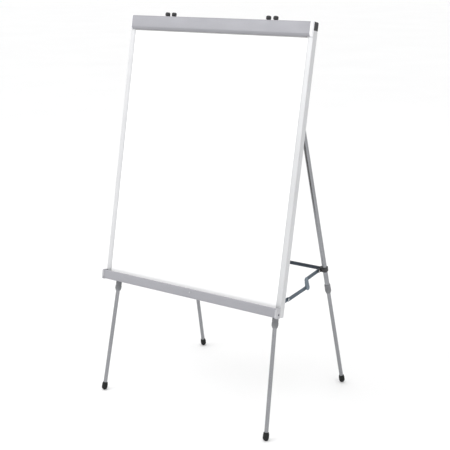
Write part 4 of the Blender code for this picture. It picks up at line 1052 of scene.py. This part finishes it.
def knob(word, label, place):
    """A round thumb knob: fluted rim, domed top with a shallow ring."""
    bore = STUD_RADIUS + GAP
    radius, height = KNOB_RADIUS, KNOB_HEIGHT
    roof = STUD_REACH + 0.0010
    profile = [(0.0, height - 0.0006), (0.0018, height - 0.0006), (0.0022, height), (0.0038, height - 0.0001),
               (0.0058, height - 0.0007), (0.0070, height - 0.0018), (radius, height - 0.0037),
               (radius, height * 0.58), (radius, height * 0.45), (radius, height * 0.32),
               (radius - 0.0009, height * 0.20), (0.0060, height * 0.13), (0.0052, 0.0008), (0.0050, 0.0),
               (bore, 0.0), (bore, roof), (0.0, roof)]
    made = lathe(f"thumb_knob_{word}_{label}", profile, flutes=18, depth=0.0007,
                 span=(height * 0.30, height - 0.0030))
    base = (place, HOOK_DEPTH - CLAMP_PIVOT[0], CLAMP_TOP + GAP - CLAMP_PIVOT[1])
    dress(made, hook_frames[word] @ Matrix.Translation(base), f"knob_{word}_{label}", "black_plastic",
          stands_for=f"hook_knob_{word}_{label}", baked=True)


for word in ("left", "right"):
    pad_hook(word)
    knob(word, "a", -KNOB_SPACING / 2)
    knob(word, "b", KNOB_SPACING / 2)


# ================================================================ pen tray
def pen_tray():
    """Folded tray: back wall, round front bend and a rolled front lip."""
    half = TRAY_SHEET / 2
    back, front, floor = -GAP - half, -TRAY_DEPTH + half, half
    line = bent([(back, TRAY_HEIGHT - 0.004), (back, floor), (front + TRAY_BEND, floor)], 0.0015, 5)[:-1]
    line += arc((front + TRAY_BEND, floor + TRAY_BEND), TRAY_BEND, 270, 180, 14)
    line += [(front, TRAY_HEIGHT - 0.0030), (front + 0.0012, TRAY_HEIGHT - 0.0008)]
    on_board(prism("tray_body", strip(line, half), -TRAY_HALF, TRAY_HALF, "X"), "satin_grey", 0.0003,
             "pen_tray")
    places = [("tray_screw", across, -GAP - TRAY_SHEET) for across in TRAY_SCREWS_S]
    places.append(("tray_front_screw", TRAY_FRONT_SCREW_S, -TRAY_DEPTH))
    for label, across, behind in places:
        fixing(STEEL_SCREW, label, (across, behind, TRAY_SCREW_V), (0, -1, 0), board_frame, "easel_board")


def tray_cap(side, word):
    """A silver end plate with a sleeve round the tray, held by one dark screw; the screw's dark head is painted
    shade, standing for the shadowed gap by the rail.
    """
    wall = CAP_WALL
    out_front, out_low = -TRAY_DEPTH - GAP - wall, -GAP - wall
    outline = [(-GAP, TRAY_HEIGHT), (-GAP, out_low)]
    outline += arc((out_front + TRAY_BEND, out_low + TRAY_BEND), TRAY_BEND, 270, 180, 12)
    outline += [(out_front, TRAY_HEIGHT - 0.003), (out_front + 0.003, TRAY_HEIGHT)]
    plate = prism("tray_end_" + word, outline, side * (TRAY_HALF + GAP), side * BOARD_HALF, "X")
    centre = (out_front + wall / 2 + TRAY_BEND, out_low + wall / 2 + TRAY_BEND)
    sleeve_line = [(-0.0020, out_low + wall / 2)] + arc(centre, TRAY_BEND, 270, 180, 12)
    sleeve_line += [(out_front + wall / 2, TRAY_HEIGHT - 0.005)]
    sleeve = prism("sleeve", strip(sleeve_line, wall / 2), side * (BOARD_HALF - CAP_LENGTH),
                   side * (BOARD_HALF - 0.001), "X")
    carve(plate, sleeve, "UNION")
    # The dark screw sits where the gap between cap and rail lies in shadow: a dark piece that stands for painted
    # shade.
    seat = (side * (BOARD_HALF - 0.0019), *CAP_SCREW)
    carve(plate, rod("screw_seat", 0.0037, seat, (side * (BOARD_HALF + 0.01), *seat[1:]), 0.0003, 32))
    on_board(plate, "silver_plastic", 0.0004, "tray_cap_" + word)
    fixing(SHADOW_SCREW, "tray_cap_shade_screw", seat, (side, 0, 0), board_frame, "easel_board", "black_steel")


pen_tray()
for side, word in SIDES:
    tray_cap(side, word)

# ================================================================ CAD nodes that stay
slot_of = {part["node"]: part["material_slot"] for part in frame["record"]["subparts"]}
for name, node in frame["nodes"].items():
    for slot in node.material_slots:
        slot.material = FINISHES[slot_of[name]]


# ================================================================ studio
def area_light(name, place, target, size, power):
    light = bpy.data.lights.new(name, "AREA")
    light.shape = "RECTANGLE"
    light.size, light.size_y = size
    light.energy = power
    lamp = bpy.data.objects.new(name, light)
    bpy.context.scene.collection.objects.link(lamp)
    lamp.location = place
    lamp.rotation_euler = (Vector(target) - Vector(place)).to_track_quat("-Z", "Y").to_euler()
    lamp.visible_camera = False
    return lamp


# Light round the studio, by direction: how far round (from -X, by -Y) and how bright.
SURROUND = ((0.00, 1.20), (0.10, 1.55), (0.19, 1.20), (0.235, 0.42), (0.28, 1.20), (0.37, 1.60), (0.46, 1.15),
            (0.54, 0.80), (0.66, 0.85), (0.80, 0.90), (1.00, 1.20))


def surround():
    """A white studio with a few darker bays, which gives tubes their streaks."""
    world = bpy.data.worlds.new("studio")
    bpy.context.scene.world = world
    world.use_nodes = True
    nodes, links = world.node_tree.nodes, world.node_tree.links
    around = nodes.new("ShaderNodeTexGradient")
    around.gradient_type = "RADIAL"
    links.new(nodes.new("ShaderNodeTexCoord").outputs["Generated"], around.inputs["Vector"])
    ramp = nodes.new("ShaderNodeValToRGB")
    stops = ramp.color_ramp.elements
    stops.remove(stops[1])
    for place, bright in SURROUND:
        stop = stops[0] if place == 0.0 else stops.new(place)
        stop.color = (bright, bright, bright, 1.0)
    links.new(around.outputs["Fac"], ramp.inputs["Fac"])
    links.new(ramp.outputs["Color"], nodes["Background"].inputs["Color"])
    nodes["Background"].inputs["Strength"].default_value = 1.0


def studio():
    """A wide pale floor, an even white surround and three soft boxes."""
    floor = prism("floor", box(-90, 90, -90, 90), -0.02, 0.0, "Z")
    floor.data.materials.append(FINISHES["studio_floor"])
    surround()
    area_light("key", (-1.6, -3.0, 3.0), (0, 0, 0.9), (2.4, 2.4), 38)
    area_light("fill", (2.8, -2.6, 2.6), (0, 0, 0.9), (2.0, 2.6), 8)
    area_light("top", (0.2, 0.6, 4.2), (0, 0, 0.4), (3.0, 3.0), 14)


CAMERA_PLACE = (1.86799, -2.61846, 1.41732)
CAMERA_TURN = (75.4001, 0.1284, 35.6156)    # degrees
LENS = 79.902                       # millimetres, on a sensor 36 mm wide


def camera():
    data = bpy.data.cameras.new("camera")
    data.lens = LENS
    data.sensor_width = 36.0
    made = bpy.data.objects.new("camera", data)
    bpy.context.scene.collection.objects.link(made)
    made.location = CAMERA_PLACE
    made.rotation_euler = [math.radians(angle) for angle in CAMERA_TURN]
    bpy.context.scene.camera = made


studio()
camera()
bpy.context.scene.view_settings.view_transform = "Standard"
